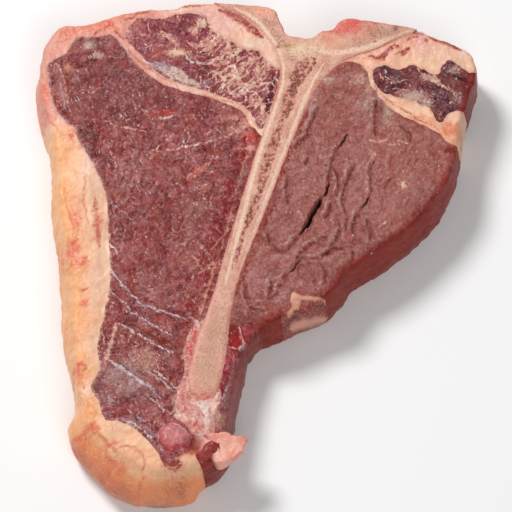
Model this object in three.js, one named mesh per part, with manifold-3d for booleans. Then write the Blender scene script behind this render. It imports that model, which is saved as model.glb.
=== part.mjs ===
// Raw T-bone steak, cut square across the loin and lying on its cut face.
// Millimetres, +Z up. The origin is the middle of the base, +Y runs from the tail towards the chine bone.
// Every muscle, the bone and the fat run through the whole thickness, so each is the steak's body cut by an outline.
import * as THREE from "three";
import { mergeVertices } from "three/addons/utils/BufferGeometryUtils.js";
import Module from "manifold-3d";

const wasm = await Module();
wasm.setup();

// Driving sizes
const THICKNESS = 25;
const SEAM_GAP = 0.3; // between neighbouring pieces
const RIM_STEP = 4; // length of a facet round the edge
const OUTLINE_STEP = 3.3; // length of a facet round a muscle
const RELIEF_STEP = 4.4; // size of a facet on the cut face
const SMALLEST_PIECE = 40; // cubic millimetres; a smaller scrap is dropped
const TALL = 3 * THICKNESS; // a cutter reaches past both cut faces

// The rim of the upper cut face, clockwise from the split chine bone at the back.
const CHINE_EDGE = [
  [7, 98.8], [10.3, 92], [13, 87.6], [17, 86.6], [22.5, 86.6], [26.5, 89.6], [30.5, 90.4],
  [32.2, 92.9], [36, 94.8], [48, 93.4], [63, 90.3],
];
const TENDERLOIN_EDGE = [
  [69, 87.8], [79, 83.4], [85.8, 78.8], [87.6, 72], [84.6, 60], [80.2, 46], [77.5, 30], [70.2, 15.5],
  [60.5, 4.5], [47.5, -6.2], [36, -13.5], [31.6, -20], [27.2, -25], [17, -30], [5, -34.8],
];
const TAIL_EDGE = [
  [-0.4, -37.4], [-5, -43], [-8, -52], [-10.8, -66], [-11.5, -76], [-12.2, -84], [-16, -89.5],
];
const FAT_EDGE = [
  [-24, -92.8], [-35, -94.2], [-46, -91.2], [-56.5, -83.3], [-63.5, -74.5], [-67, -62], [-69.6, -42],
  [-70.8, -20], [-74, 0], [-76.4, 14], [-77.6, 32], [-81.2, 48], [-85.2, 62], [-85, 75], [-82.4, 86.5],
  [-76.5, 92], [-68, 92.6], [-60, 95.2], [-46, 98.8], [-34, 99.7], [-25, 102], [-10, 101.2],
];
const RIM = [...CHINE_EDGE, ...TENDERLOIN_EDGE, ...TAIL_EDGE, ...FAT_EDGE];

// How far the soft edge slumps out past the rim: place on the rim, then millimetres.
const SLUMP = [
  [10, 95, 0.4], [50, 92, 0.4], [84, 74, 1.4], [80, 40, 1.8], [62, 5, 2.2], [24, -27, 2], [-2, -38, 2.6],
  [-8, -56, 3.8], [-11, -78, 2.4], [-16, -90, 2.6], [-30, -94, 8.6], [-46, -91, 10.4], [-60, -80, 9.2],
  [-68, -60, 2.2], [-70, -30, 4.8], [-76, 10, 4], [-84, 56, 2.4], [-82, 83, 1.6], [-60, 95, 1],
  [-25, 102, 0.5],
];

// Side profile from base to top: height as a share of the thickness, share of the slump, plain offset.
const SIDE_PROFILE = [
  [0, 0.4, -1.6], [0.05, 0.68, -0.5], [0.2, 0.95, 0], [0.42, 1, 0], [0.68, 0.66, 0],
  [0.88, 0.2, -0.1], [0.96, -0.04, -0.6], [1.2, -0.5, -3],
];

// Outlines of the pieces on the cut face. Where one runs past the rim or under the piece next to it, it is trimmed.
const T_BONE = [
  [-24, 103], [9, 104], [18, 93], [26, 96], [40, 99], [64.5, 93.5], [63.5, 89], [58.5, 86], [47, 80.3],
  [36, 76.2], [27.5, 68.8], [21.3, 58.5], [14.8, 42.5], [6.8, 20], [-0.5, 0], [-6, -14.5], [-9.3, -29],
  [-11, -45], [-13.3, -59], [-15.5, -64.5], [-20, -66.2], [-24.3, -63.5], [-25.7, -56], [-22.7, -43],
  [-17.3, -26.5], [-11.8, -5.5], [-6.2, 14], [-0.5, 34], [5.8, 54], [9.8, 70], [9.3, 76], [6.7, 82.5],
  [2.5, 88.8], [-3, 94.3], [-9, 98], [-16, 100.4],
];
const STRIP_LOIN = [
  [-57.5, 87], [-50.3, 78.6], [-46, 72.8], [-41, 68.3], [-35, 64.6], [-20, 60], [-11.5, 56.8], [-5.5, 53.6],
  [-2.6, 48.5], [3, 40], [-9, -2], [-18, -32], [-23.5, -36], [-27.8, -47.5], [-27, -53], [-30.3, -66],
  [-30.5, -72], [-34, -76], [-37.2, -80.5], [-35.5, -85], [-31.5, -88.8], [-28, -91.3], [-31.5, -94.3],
  [-34.6, -92.5], [-37, -86.5], [-45, -78], [-50.5, -75], [-56.5, -74], [-59.3, -66.5], [-62.2, -61],
  [-59.2, -53.5], [-60.2, -46], [-58, -32], [-55.8, -17], [-57, 0], [-58.3, 17], [-63.2, 30], [-69.6, 41],
  [-71.2, 46], [-75.5, 49.5], [-79.8, 56.5], [-82, 68], [-82, 75.3], [-75.5, 79], [-71.5, 86], [-65, 86.3],
];
const MULTIFIDUS = [
  [-52.5, 86.5], [-47, 94.6], [-38, 94.6], [-32, 96.5], [-21, 95.8], [-17, 89], [-8.5, 83.5], [-5, 80.8],
  [1.5, 79.5], [4, 75.5], [11, 71], [10, 60], [1.5, 45.5], [-1.2, 50], [-4, 55.2], [-10.5, 58.8],
  [-27.5, 64.8], [-34.5, 67.3], [-40, 71], [-48.7, 81],
];
const TENDERLOIN = [
  [36.5, 75.3], [41, 74.3], [44, 70.5], [45, 65.5], [52.5, 55], [58, 51.2], [71.5, 44], [76, 39.5], [83, 37],
  [84, 22], [62, -4], [44, -16], [33.5, -24.3], [28, -25.5], [20.5, -24.3], [15, -22.2], [12.8, -26],
  [9.5, -31], [9, -40], [1, -42], [-1.5, -33.5], [-6, -35], [-13, -34], [-6, -10], [6, 22], [20, 58],
  [28, 72],
];
const SIDE_MUSCLE = [
  [46.3, 67.5], [47.3, 72], [51, 73.3], [56.5, 71.5], [62.5, 73.4], [71, 69.3], [76.5, 75.7], [84, 70.6],
  [93, 69], [92, 58], [84, 53.5], [76, 53], [73.4, 48.6], [70.8, 49.4], [68.5, 54.5], [62.5, 57.5],
  [49.5, 62.2],
];
const GRISTLE = [
  [-20.5, -31], [-14, -40], [-14, -60], [-12.6, -64], [-15.5, -74], [-15.5, -79.5], [-19, -81], [-24, -79.8],
  [-27, -76], [-31, -73], [-30.6, -66.5], [-27.3, -53], [-28.2, -47.5], [-24.5, -36],
];
const LEAN_NUGGET = [
  [-36.8, -80.5], [-34.5, -75.5], [-31, -73.8], [-26.5, -76.5], [-24, -80.5], [-24.5, -84], [-31.5, -88.5],
  [-34.8, -85.5],
];
const EDGE_STRIP = [
  [-14, -28], [2, -30], [10, -60], [2, -79], [-15.4, -79.5], [-15, -70], [-16, -60],
];
const TAIL_LEAN = [
  [-22.5, -88], [-17, -82.5], [-4, -79], [-2, -92], [-8, -101], [-17.6, -101], [-20.2, -92],
];
const FAT_FLAP = [
  [-20.5, -79.8], [-15.5, -78.8], [-9, -79.4], [-3.2, -80.6], [-4.2, -84.5], [-6.5, -87.6], [-13.8, -91.6],
  [-16.4, -89], [-17, -84],
];
const FLAP_TOP = THICKNESS + 0.8;
const FLAP_ROOT_DEPTH = 9; // thickness of the flap where it leaves the bone's tip
const FLAP_TIP_DEPTH = 4;

// Swellings and hollows of the cut face: place, half-widths, height.
const SWELLINGS = [
  { at: [42, 22], half: [34, 40], height: 1.3 }, // tenderloin
  { at: [-38, 12], half: [20, 60], height: -0.9 }, // strip loin sinks a little
  { at: [-25, 80], half: [26, 14], height: 0.7 }, // multifidus
  { at: [-66, -10], half: [7, 70], height: 0.8 }, // fat stands proud of the lean
  { at: [-30.5, -81], half: [5.5, 6.5], height: 2.6 }, // nugget
  { at: [-22.3, -84], half: [2.2, 2], height: -5 }, // pit beside the nugget
  { at: [-3, -39], half: [6, 6], height: -5 }, // recess where the tenderloin leaves the tail
  { at: [-7, -60], half: [3.6, 16], height: -4 }, // side of the tail falls away
  { at: [-12, -75.5], half: [3, 3], height: -3 },
  { at: [-18, -93], half: [6, 4], height: -2.5 },
  { at: [20, -29], half: [9, 3.2], height: -2.2 }, // fold below the tenderloin
  { at: [30, 92], half: [14, 4], height: -0.7 }, // split edge of the chine
];
const ROLL = { height: 0.35, x: 17, y: 23 }; // slow waves over the whole face

// Splits in the tenderloin's lean: ends, widest opening, depth.
const SPLITS = [
  { from: [28.3, 21.5], to: [16.8, 0.5], open: 3.2, depth: 10 },
  { from: [36.4, 43.2], to: [32.4, 37.6], open: 1.8, depth: 6 },
  { from: [44.8, 18.6], to: [39.8, 10.2], open: 1.7, depth: 5 },
];

// A closed curve through hand-placed points, as evenly spaced [x, y] points.
function smoothOutline(points, step) {
  const curve = new THREE.CatmullRomCurve3(
    points.map(([x, y]) => new THREE.Vector3(x, y, 0)), true, "centripetal",
  );
  const count = Math.max(8, Math.round(curve.getLength() / step));
  return curve.getSpacedPoints(count).slice(0, count).map((p) => [p.x, p.y]);
}

// The outline's outward unit normals. It may run either way round.
function outwardNormals(outline) {
  const turn = THREE.ShapeUtils.isClockWise(outline.map(([x, y]) => new THREE.Vector2(x, y))) ? -1 : 1;
  return outline.map((_, i) => {
    const [ax, ay] = outline[(i + outline.length - 1) % outline.length];
    const [bx, by] = outline[(i + 1) % outline.length];
    const length = Math.hypot(bx - ax, by - ay);
    return [(turn * (by - ay)) / length, (-turn * (bx - ax)) / length];
  });
}

function grown(outline, distance) {
  const normals = outwardNormals(outline);
  return outline.map(([x, y], i) => [x + normals[i][0] * distance, y + normals[i][1] * distance]);
}

// A closed three.js geometry as a solid that can be joined and cut.
function solidOf(geometry) {
  const bare = geometry.clone();
  bare.deleteAttribute("normal");
  bare.deleteAttribute("uv");
  const merged = mergeVertices(bare, 1e-4);
  return new wasm.Manifold(
    new wasm.Mesh({
      numProp: 3,
      vertProperties: new Float32Array(merged.attributes.position.array),
      triVerts: new Uint32Array(merged.index.array),
    }),
  );
}

// An upright cutter of the outline's shape, between two heights.
function prism(outline, low = -TALL, high = TALL) {
  const shape = new THREE.Shape(outline.map(([x, y]) => new THREE.Vector2(x, y)));
  const geometry = new THREE.ExtrudeGeometry(shape, { depth: high - low, bevelEnabled: false });
  return solidOf(geometry.translate(0, 0, low));
}

// A closed skin over rings of points of equal number, the first and last filled by the given triangles.
function skin(rings, capFaces) {
  const count = rings[0].length;
  const faces = [];
  for (let k = 0; k + 1 < rings.length; k++) {
    for (let i = 0; i < count; i++) {
      const a = k * count + i;
      const b = k * count + ((i + 1) % count);
      faces.push(a, b, b + count, a, b + count, a + count);
    }
  }
  const last = (rings.length - 1) * count;
  for (const [a, b, c] of capFaces) faces.push(a, c, b, last + a, last + b, last + c);
  const geometry = new THREE.BufferGeometry();
  geometry.setAttribute("position", new THREE.Float32BufferAttribute(rings.flat(2), 3));
  geometry.setIndex(faces);
  return solidOf(geometry);
}

// Nearness-weighted mean of the slumps given round the rim.
function slumpAt(x, y) {
  let total = 0;
  let weights = 0;
  for (const [px, py, slump] of SLUMP) {
    const weight = 1 / ((x - px) ** 2 + (y - py) ** 2 + 20) ** 1.5;
    total += weight * slump;
    weights += weight;
  }
  return total / weights;
}

// The edge of the steak: the rim at each height of the side profile, pushed out by the local slump.
function edgeSolid() {
  let rim = smoothOutline(RIM, RIM_STEP);
  const flat = rim.map(([x, y]) => new THREE.Vector2(x, y));
  if (THREE.ShapeUtils.isClockWise(flat)) rim = rim.reverse();
  const normals = outwardNormals(rim);
  const rings = SIDE_PROFILE.map(([height, share, plain]) =>
    rim.map(([x, y], i) => {
      const out = share * slumpAt(x, y) + plain * (slumpAt(x, y) < 0.6 ? 0.35 : 1);
      return [x + normals[i][0] * out, y + normals[i][1] * out, height * THICKNESS];
    }),
  );
  const contour = rim.map(([x, y]) => new THREE.Vector2(x, y));
  return skin(rings, THREE.ShapeUtils.triangulateShape(contour, []));
}

function faceHeight(x, y) {
  let z = THICKNESS + ROLL.height * Math.sin(x / ROLL.x + 0.6) * Math.cos(y / ROLL.y);
  for (const { at, half, height } of SWELLINGS) {
    const distance = ((x - at[0]) / half[0]) ** 2 + ((y - at[1]) / half[1]) ** 2;
    z += height * Math.exp(-distance);
  }
  return z;
}

// A slab with the relief of the upper cut face on it, wider than the steak.
function reliefSlab() {
  const side = 230;
  const cells = Math.round(side / RELIEF_STEP);
  const geometry = new THREE.BoxGeometry(side, side, THICKNESS, cells, cells, 1);
  geometry.translate(0, 0, THICKNESS / 2);
  const position = geometry.attributes.position;
  for (let i = 0; i < position.count; i++) {
    if (position.getZ(i) > THICKNESS / 2) {
      position.setZ(i, faceHeight(position.getX(i), position.getY(i)));
    }
  }
  return solidOf(geometry);
}

// A lens-shaped split that narrows to nothing at its foot.
function splitCutter({ from, to, open, depth }) {
  const length = Math.hypot(to[0] - from[0], to[1] - from[1]);
  const along = [(to[0] - from[0]) / length, (to[1] - from[1]) / length];
  const steps = 10;
  const lens = (width) => {
    const sides = [1, -1].map((side) =>
      Array.from({ length: steps }, (_, i) => {
        const share = side > 0 ? i / steps : 1 - i / steps;
        const half = side * (width / 2) * Math.sin(Math.PI * share);
        return [
          from[0] + along[0] * length * share - along[1] * half,
          from[1] + along[1] * length * share + along[0] * half,
        ];
      }),
    );
    return [...sides[0], ...sides[1]];
  };
  let rings = [
    [0.25, -depth], [0.8, -depth * 0.5], [1, 0], [1.15, 5],
  ].map(([share, z]) => lens(open * share).map(([x, y]) => [x, y, THICKNESS + z]));
  if (THREE.ShapeUtils.isClockWise(rings[0].map(([x, y]) => new THREE.Vector2(x, y)))) {
    rings = rings.map((ring) => ring.reverse());
  }
  const contour = rings[0].map(([x, y]) => new THREE.Vector2(x, y));
  return skin(rings, THREE.ShapeUtils.triangulateShape(contour, []));
}

// The flap of fat hangs out past the tail, thinner towards its tip.
function flapSolid(growth) {
  let outline = grown(smoothOutline(FAT_FLAP, 2.2), growth);
  if (THREE.ShapeUtils.isClockWise(outline.map(([x, y]) => new THREE.Vector2(x, y)))) {
    outline = outline.reverse();
  }
  const xs = outline.map(([x]) => x);
  const [low, high] = [Math.min(...xs), Math.max(...xs)];
  const depth = (x) => FLAP_ROOT_DEPTH + ((FLAP_TIP_DEPTH - FLAP_ROOT_DEPTH) * (x - low)) / (high - low);
  const curl = (y) => 1.2 * Math.sin((y + 80) / 4);
  const rings = [
    outline.map(([x, y]) => [x, y, FLAP_TOP - depth(x) - growth]),
    outline.map(([x, y]) => [x, y, FLAP_TOP + curl(y) + growth]),
  ];
  const contour = outline.map(([x, y]) => new THREE.Vector2(x, y));
  return skin(rings, THREE.ShapeUtils.triangulateShape(contour, []));
}

const LOOKS = {
  lean: { color: "#7d3a3c", roughness: 0.42 },
  darkLean: { color: "#6b2326", roughness: 0.35 },
  tenderLean: { color: "#8a504b", roughness: 0.45 },
  fat: { color: "#efc59b", roughness: 0.5 },
  pinkFat: { color: "#e3a48f", roughness: 0.45 },
  bone: { color: "#d9b99c", roughness: 0.6 },
  gristle: { color: "#d79a88", roughness: 0.35 },
};

const steak = new THREE.Group();

function addPiece(name, solid, look) {
  const { vertProperties, triVerts, numProp } = solid.getMesh();
  if (numProp !== 3) throw new Error(`${name} carries more than places`);
  const geometry = new THREE.BufferGeometry();
  geometry.setAttribute("position", new THREE.BufferAttribute(new Float32Array(vertProperties), 3));
  geometry.setIndex(new THREE.BufferAttribute(new Uint32Array(triVerts), 1));
  geometry.computeVertexNormals();
  const piece = new THREE.Mesh(geometry, new THREE.MeshStandardMaterial({ metalness: 0, ...look }));
  piece.name = name;
  steak.add(piece);
}

function largest(solid) {
  return solid.decompose().sort((a, b) => b.volume() - a.volume())[0];
}

// The pieces, in the order in which they claim the body: a later one is trimmed by all before it.
const body = edgeSolid().intersect(reliefSlab());
let free = body.subtract(flapSolid(SEAM_GAP));
addPiece("fat_flap", flapSolid(0), LOOKS.pinkFat);

const CUTS = [
  ["t_bone", T_BONE, LOOKS.bone],
  ["lean_nugget", LEAN_NUGGET, LOOKS.darkLean],
  ["multifidus", MULTIFIDUS, LOOKS.lean],
  ["strip_loin", STRIP_LOIN, LOOKS.lean],
  ["side_muscle", SIDE_MUSCLE, LOOKS.lean],
  ["tenderloin", TENDERLOIN, LOOKS.tenderLean],
  ["gristle", GRISTLE, LOOKS.gristle],
  ["edge_strip", EDGE_STRIP, LOOKS.darkLean],
  ["tail_lean", TAIL_LEAN, LOOKS.darkLean],
];
for (const [name, points, look] of CUTS) {
  const outline = smoothOutline(points, OUTLINE_STEP);
  let piece = largest(free.intersect(prism(outline)));
  if (name === "tenderloin") {
    for (const split of SPLITS) piece = piece.subtract(splitCutter(split));
  }
  addPiece(name, piece, look);
  free = free.subtract(prism(grown(outline, SEAM_GAP)));
}

// What is left of the body is fat: the cap with its seam, the fat over the tenderloin and the fold below it.
const FATS = [
  ["fat_cap", LOOKS.fat],
  ["tenderloin_fat", LOOKS.pinkFat],
  ["fold_fat", LOOKS.fat],
];
const leftovers = free.decompose().sort((a, b) => b.volume() - a.volume());
FATS.forEach(([name, look], i) => addPiece(name, leftovers[i], look));
for (const scrap of leftovers.slice(FATS.length)) {
  if (scrap.volume() > SMALLEST_PIECE) {
    throw new Error(`an unnamed piece of ${scrap.volume().toFixed(0)} cubic mm is left at ${JSON.stringify(scrap.boundingBox())}`);
  }
}

// The origin is the middle of the base of the whole.
const box = new THREE.Box3().setFromObject(steak);
const middle = box.getCenter(new THREE.Vector3());
steak.position.set(-middle.x, -middle.y, 0);

export default steak;
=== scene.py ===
# Raw T-bone steak, lying on one cut face with the other one up.
# Outlines are drawn in millimetres on the cut face, as seen from above.
import math

import bpy
import numpy as np
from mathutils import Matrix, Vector
from mathutils.geometry import delaunay_2d_cdt
from mathutils.kdtree import KDTree


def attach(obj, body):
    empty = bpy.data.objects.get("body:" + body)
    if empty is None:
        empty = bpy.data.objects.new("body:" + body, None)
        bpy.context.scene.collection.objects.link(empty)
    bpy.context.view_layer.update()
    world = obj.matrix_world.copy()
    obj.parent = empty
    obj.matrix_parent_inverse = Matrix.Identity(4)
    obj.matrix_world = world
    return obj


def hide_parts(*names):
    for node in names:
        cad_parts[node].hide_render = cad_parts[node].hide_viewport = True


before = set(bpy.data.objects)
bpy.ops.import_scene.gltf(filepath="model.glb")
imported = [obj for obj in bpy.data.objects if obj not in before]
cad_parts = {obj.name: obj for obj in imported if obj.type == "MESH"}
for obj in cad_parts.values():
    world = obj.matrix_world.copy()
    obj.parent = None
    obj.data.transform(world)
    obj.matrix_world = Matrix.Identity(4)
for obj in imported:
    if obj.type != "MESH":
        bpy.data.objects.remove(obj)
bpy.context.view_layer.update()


# THE T-BONE
# One sawn slice of a lumbar vertebra: the long arm is the transverse process, the head is the split body.
# A hard cream rim encloses porous, reddish marrow. The saw leaves it flat, so it has little relief.
MM = 0.001
THICKNESS = 25.0
DRAWING_MIDDLE = (0.626, -0.067)  # where the frame's origin lies on the drawing
RIM = [
    (7, 98.8), (10.3, 92), (13, 87.6), (17, 86.6), (22.5, 86.6), (26.5, 89.6), (30.5, 90.4), (32.2, 92.9),
    (36, 94.8), (48, 93.4), (63, 90.3), (69, 87.8), (79, 83.4), (85.8, 78.8), (87.6, 72), (84.6, 60),
    (80.2, 46), (77.5, 30), (70.2, 15.5), (60.5, 4.5), (47.5, -6.2), (36, -13.5), (31.6, -20), (27.2, -25),
    (17, -30), (5, -34.8), (-0.4, -37.4), (-5, -43), (-8, -52), (-10.8, -66), (-11.5, -76), (-12.2, -84),
    (-16, -89.5), (-24, -92.8), (-35, -94.2), (-46, -91.2), (-56.5, -83.3), (-63.5, -74.5), (-67, -62),
    (-69.6, -42), (-70.8, -20), (-74, 0), (-76.4, 14), (-77.6, 32), (-81.2, 48), (-85.2, 62), (-85, 75),
    (-82.4, 86.5), (-76.5, 92), (-68, 92.6), (-60, 95.2), (-46, 98.8), (-34, 99.7), (-25, 102), (-10, 101.2),
]
SLUMP = [  # place on the rim, then how far the soft side sags out past it
    (10, 95, 0.4), (50, 92, 0.4), (84, 74, 1.4), (80, 40, 1.8), (62, 5, 2.2), (24, -27, 2), (-2, -38, 2.6),
    (-8, -56, 3.8), (-11, -78, 2.4), (-16, -90, 2.6), (-30, -94, 8.6), (-46, -91, 10.4), (-60, -80, 9.2),
    (-68, -60, 2.2), (-70, -30, 4.8), (-76, 10, 4), (-84, 56, 2.8), (-82, 83, 1.8), (-60, 95, 1),
    (-25, 102, 0.5),
]
SIDE_HEIGHT = (0, 0.05, 0.2, 0.42, 0.68, 0.88, 0.95)
SIDE_SLUMP = (0.4, 0.68, 0.95, 1, 0.66, 0.2, 0.03)
SIDE_TUCK = (-1.6, -0.6, 0, 0, 0, -0.1, -0.25)
SWELLINGS = [  # middle, half-widths, height of each swelling or hollow of the cut face
    ((42, 22), (34, 40), 1.3),
    ((-38, 12), (20, 60), -0.9),
    ((-25, 80), (26, 14), 0.7),
    ((-66, -10), (7, 70), 0.8),
    ((-30.5, -81), (5.5, 6.5), 2.6),
    ((-22.3, -84), (2.2, 2), -5),
    ((-3, -39), (6, 6), -5),
    ((-7, -60), (3.6, 16), -4),
    ((-12, -75.5), (3, 3), -3),
    ((-18, -93), (6, 4), -2.5),
    ((20, -29), (9, 3.2), -2.2),
    ((30, 92), (14, 4), -0.7),
]
WALL_RINGS = 22
SEAM_STEP = 0.7  # length of an edge round a piece
FACE_STEP = 0.42  # length of an edge on the cut face, where a piece gives no other
BASE_STEP = 1.6
CLEARANCE = 0.55  # share of a step that is kept free of points beside the loops
SEAM_REACH = 0.9  # how near to a seam the relief fades out, so that neighbours meet
SHOULDER = 1.6  # how far in the rounding along the rim begins
REACH_OF_SLUMP = 5.0


def smooth_loop(points, step):
    """Evenly spaced points on a closed curve through the given ones, anticlockwise."""
    p1 = np.array(points, float)
    if np.sum(p1[:, 0]*np.roll(p1[:, 1], -1) - np.roll(p1[:, 0], -1)*p1[:, 1]) < 0:
        p1 = p1[::-1]
    p0, p2, p3 = np.roll(p1, 1, 0), np.roll(p1, -1, 0), np.roll(p1, -2, 0)
    d0, d1, d2 = (np.sum((b - a)**2, 1)[:, None]**0.25 for a, b in ((p0, p1), (p1, p2), (p2, p3)))
    t1 = d1*((p1 - p0)/d0 - (p2 - p0)/(d0 + d1) + (p2 - p1)/d1)
    t2 = d1*((p2 - p1)/d1 - (p3 - p1)/(d1 + d2) + (p3 - p2)/d2)
    t = np.linspace(0, 1, 20, endpoint=False)[:, None, None]
    curve = p1 + t1*t + (3*p2 - 3*p1 - 2*t1 - t2)*t**2 + (2*p1 - 2*p2 + t1 + t2)*t**3
    curve = curve.transpose(1, 0, 2).reshape(-1, 2)
    closed = np.vstack([curve, curve[:1]])
    along = np.concatenate([[0], np.cumsum(np.hypot(*np.diff(closed, axis=0).T))])
    stops = np.linspace(0, along[-1], max(12, round(along[-1]/step)), endpoint=False)
    return np.stack([np.interp(stops, along, closed[:, i]) for i in (0, 1)], 1)


def noise(points, size, seed):
    """Smooth random field between about -1 and 1, with lumps of the given size."""
    corners = np.random.default_rng(seed).normal(size=(32, 32, 32, 3))
    corners /= np.linalg.norm(corners, axis=3, keepdims=True)
    cell = np.floor(points/size).astype(int)
    inside = points/size - cell
    fade = inside**3*(inside*(inside*6 - 15) + 10)
    total = np.zeros(len(points))
    for corner in np.ndindex(2, 2, 2):
        at = (cell + corner) % 32
        pull = np.sum(corners[at[:, 0], at[:, 1], at[:, 2]]*(inside - corner), 1)
        total += pull*np.prod(np.where(corner, fade, 1 - fade), 1)
    return total*1.5


def rough(points, size, seed, octaves=3):
    """Several sizes of noise added, each half as large and half as strong as the last."""
    return sum(noise(points, size/2**k, seed + k)/2**k for k in range(octaves))


def ragged(loop, amount, size, seed):
    """A loop with small random bays and points."""
    flat = np.column_stack([loop, np.zeros(len(loop))])
    return loop + amount*np.column_stack([rough(flat, size, seed), rough(flat, size, seed + 50)])


def tree_of(points):
    tree = KDTree(len(points))
    for i, point in enumerate(points):
        tree.insert((point[0], point[1], 0), i)
    tree.balance()
    return tree


def nearest(tree, points):
    """Distance to the tree's nearest point, and which one it is."""
    found = [tree.find((x, y, 0))[1:] for x, y in points[:, :2].tolist()]
    return np.array([f[1] for f in found]), np.array([f[0] for f in found])


rim_loop = ragged(smooth_loop(RIM, SEAM_STEP), 0.35, 5, 3)
rim_ahead = np.roll(rim_loop, -2, 0) - np.roll(rim_loop, 2, 0)
rim_out = np.column_stack([rim_ahead[:, 1], -rim_ahead[:, 0]])
rim_out /= np.linalg.norm(rim_out, axis=1, keepdims=True)
slump_weight = 1/(sum((rim_loop[:, None, i] - np.array(SLUMP)[None, :, i])**2 for i in (0, 1)) + 20)**1.5
rim_slump = slump_weight @ np.array(SLUMP)[:, 2]/slump_weight.sum(1)
rim_tree = tree_of(rim_loop)
claimed = []


def region(outline, spacing, within_rim=True):
    """Triangles of the cut face inside the outline and the rim, and outside every piece claimed before."""
    others = [rim_loop] + claimed if within_rim else []
    loops = others + ([] if outline is None else [outline])
    own = rim_loop if outline is None else outline
    low, high = own.min(0), own.max(0)
    row = spacing*math.sqrt(3)/2
    rows = np.arange(low[1], high[1], row)
    grid = np.array([
        (x, y)
        for k, y in enumerate(rows)
        for x in np.arange(low[0] + (k % 2)*spacing/2, high[0], spacing)
    ])
    grid = grid[nearest(tree_of(np.vstack(loops)), grid)[0] > CLEARANCE*max(spacing, SEAM_STEP)]
    corners, faces, start = [], [], 0
    for loop in loops:
        corners += [Vector(p) for p in loop.tolist()]
        faces.append(list(range(start, start + len(loop))))
        start += len(loop)
    corners += [Vector(p) for p in grid.tolist()]
    found = delaunay_2d_cdt(corners, [], faces, 1, 1e-5, True)
    taken = set(range(1, len(others)))
    wanted = {0} if outline is None else {0, len(loops) - 1}
    kept = [f for f, inside in zip(found[2], found[5]) if wanted <= set(inside) and not taken & set(inside)]
    return tidy_up(np.array([tuple(v) for v in found[0]]), np.array(kept))


def tidy_up(points, triangles):
    """Drops the points that no triangle uses, and turns every triangle anticlockwise."""
    used, triangles = np.unique(triangles, return_inverse=True)
    points, triangles = points[used], triangles.reshape(-1, 3)
    a, b, c = (points[triangles[:, i]] for i in range(3))
    flipped = (b[:, 0] - a[:, 0])*(c[:, 1] - a[:, 1]) < (c[:, 0] - a[:, 0])*(b[:, 1] - a[:, 1])
    triangles[flipped] = triangles[flipped][:, ::-1]
    return points, triangles


def border(triangles):
    """The edges that have a triangle on one side only, in the triangle's direction."""
    edges = np.concatenate([triangles[:, [0, 1]], triangles[:, [1, 2]], triangles[:, [2, 0]]])
    seen = set(map(tuple, edges.tolist()))
    return np.array([e for e in edges.tolist() if (e[1], e[0]) not in seen])


def face_height(points):
    """The cut face's slow swells and hollows, shared by all pieces so that neighbours meet."""
    x, y = points[:, 0], points[:, 1]
    height = THICKNESS + 0.35*np.sin(x/17 + 0.6)*np.cos(y/23)
    for middle, half, rise in SWELLINGS:
        height += rise*np.exp(-((x - middle[0])/half[0])**2 - ((y - middle[1])/half[1])**2)
    flat = np.column_stack([x, y, np.zeros(len(x))])
    return height + 0.35*rough(flat, 14, 11, 2)


def settle(points, rim):
    """Sags the side out, as soft meat does, and gives it small dents."""
    distance, at = rim
    share = points[:, 2]/THICKNESS
    out = np.interp(share, SIDE_HEIGHT, SIDE_SLUMP)*rim_slump[at] + np.interp(share, SIDE_HEIGHT, SIDE_TUCK)
    out += (0.55*rough(points, 7, 21) + 0.25*noise(points, 2.2, 25))*np.clip(rim_slump[at]/2, 0.3, 1)
    out *= np.exp(-(distance/REACH_OF_SLUMP)**2)
    moved = points.copy()
    moved[:, :2] += rim_out[at]*out[:, None]
    return moved


def in_scene(name, data):
    """A new object that holds the data, linked to the scene."""
    made = bpy.data.objects.new(name, data)
    bpy.context.scene.collection.objects.link(made)
    return made


def mesh_object(name, points, faces, paint, seam):
    """A closed mesh in the frame's metres, with painted values on its points and crisp edges at its seams."""
    mesh = bpy.data.meshes.new(name)
    placed = (points - np.array([*DRAWING_MIDDLE, 0]))*MM
    mesh.from_pydata(placed.tolist(), [], [f for part in faces for f in part.tolist()])
    for key, values in paint.items():
        if values.ndim == 2:
            opaque = np.column_stack([values, np.ones(len(values))]).astype(np.float32)
            mesh.attributes.new(key, "FLOAT_COLOR", "POINT").data.foreach_set("color", opaque.ravel())
        else:
            mesh.attributes.new(key, "FLOAT", "POINT").data.foreach_set("value", values.astype(np.float32))
    mesh.polygons.foreach_set("use_smooth", np.ones(len(mesh.polygons), bool))
    ends = np.empty(2*len(mesh.edges), int)
    mesh.edges.foreach_get("vertices", ends)
    crisp = seam[ends.reshape(-1, 2)].all(1)
    mesh.attributes.new("sharp_edge", "BOOLEAN", "EDGE").data.foreach_set("value", crisp)
    mesh.update()
    return in_scene(name, mesh)


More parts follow.
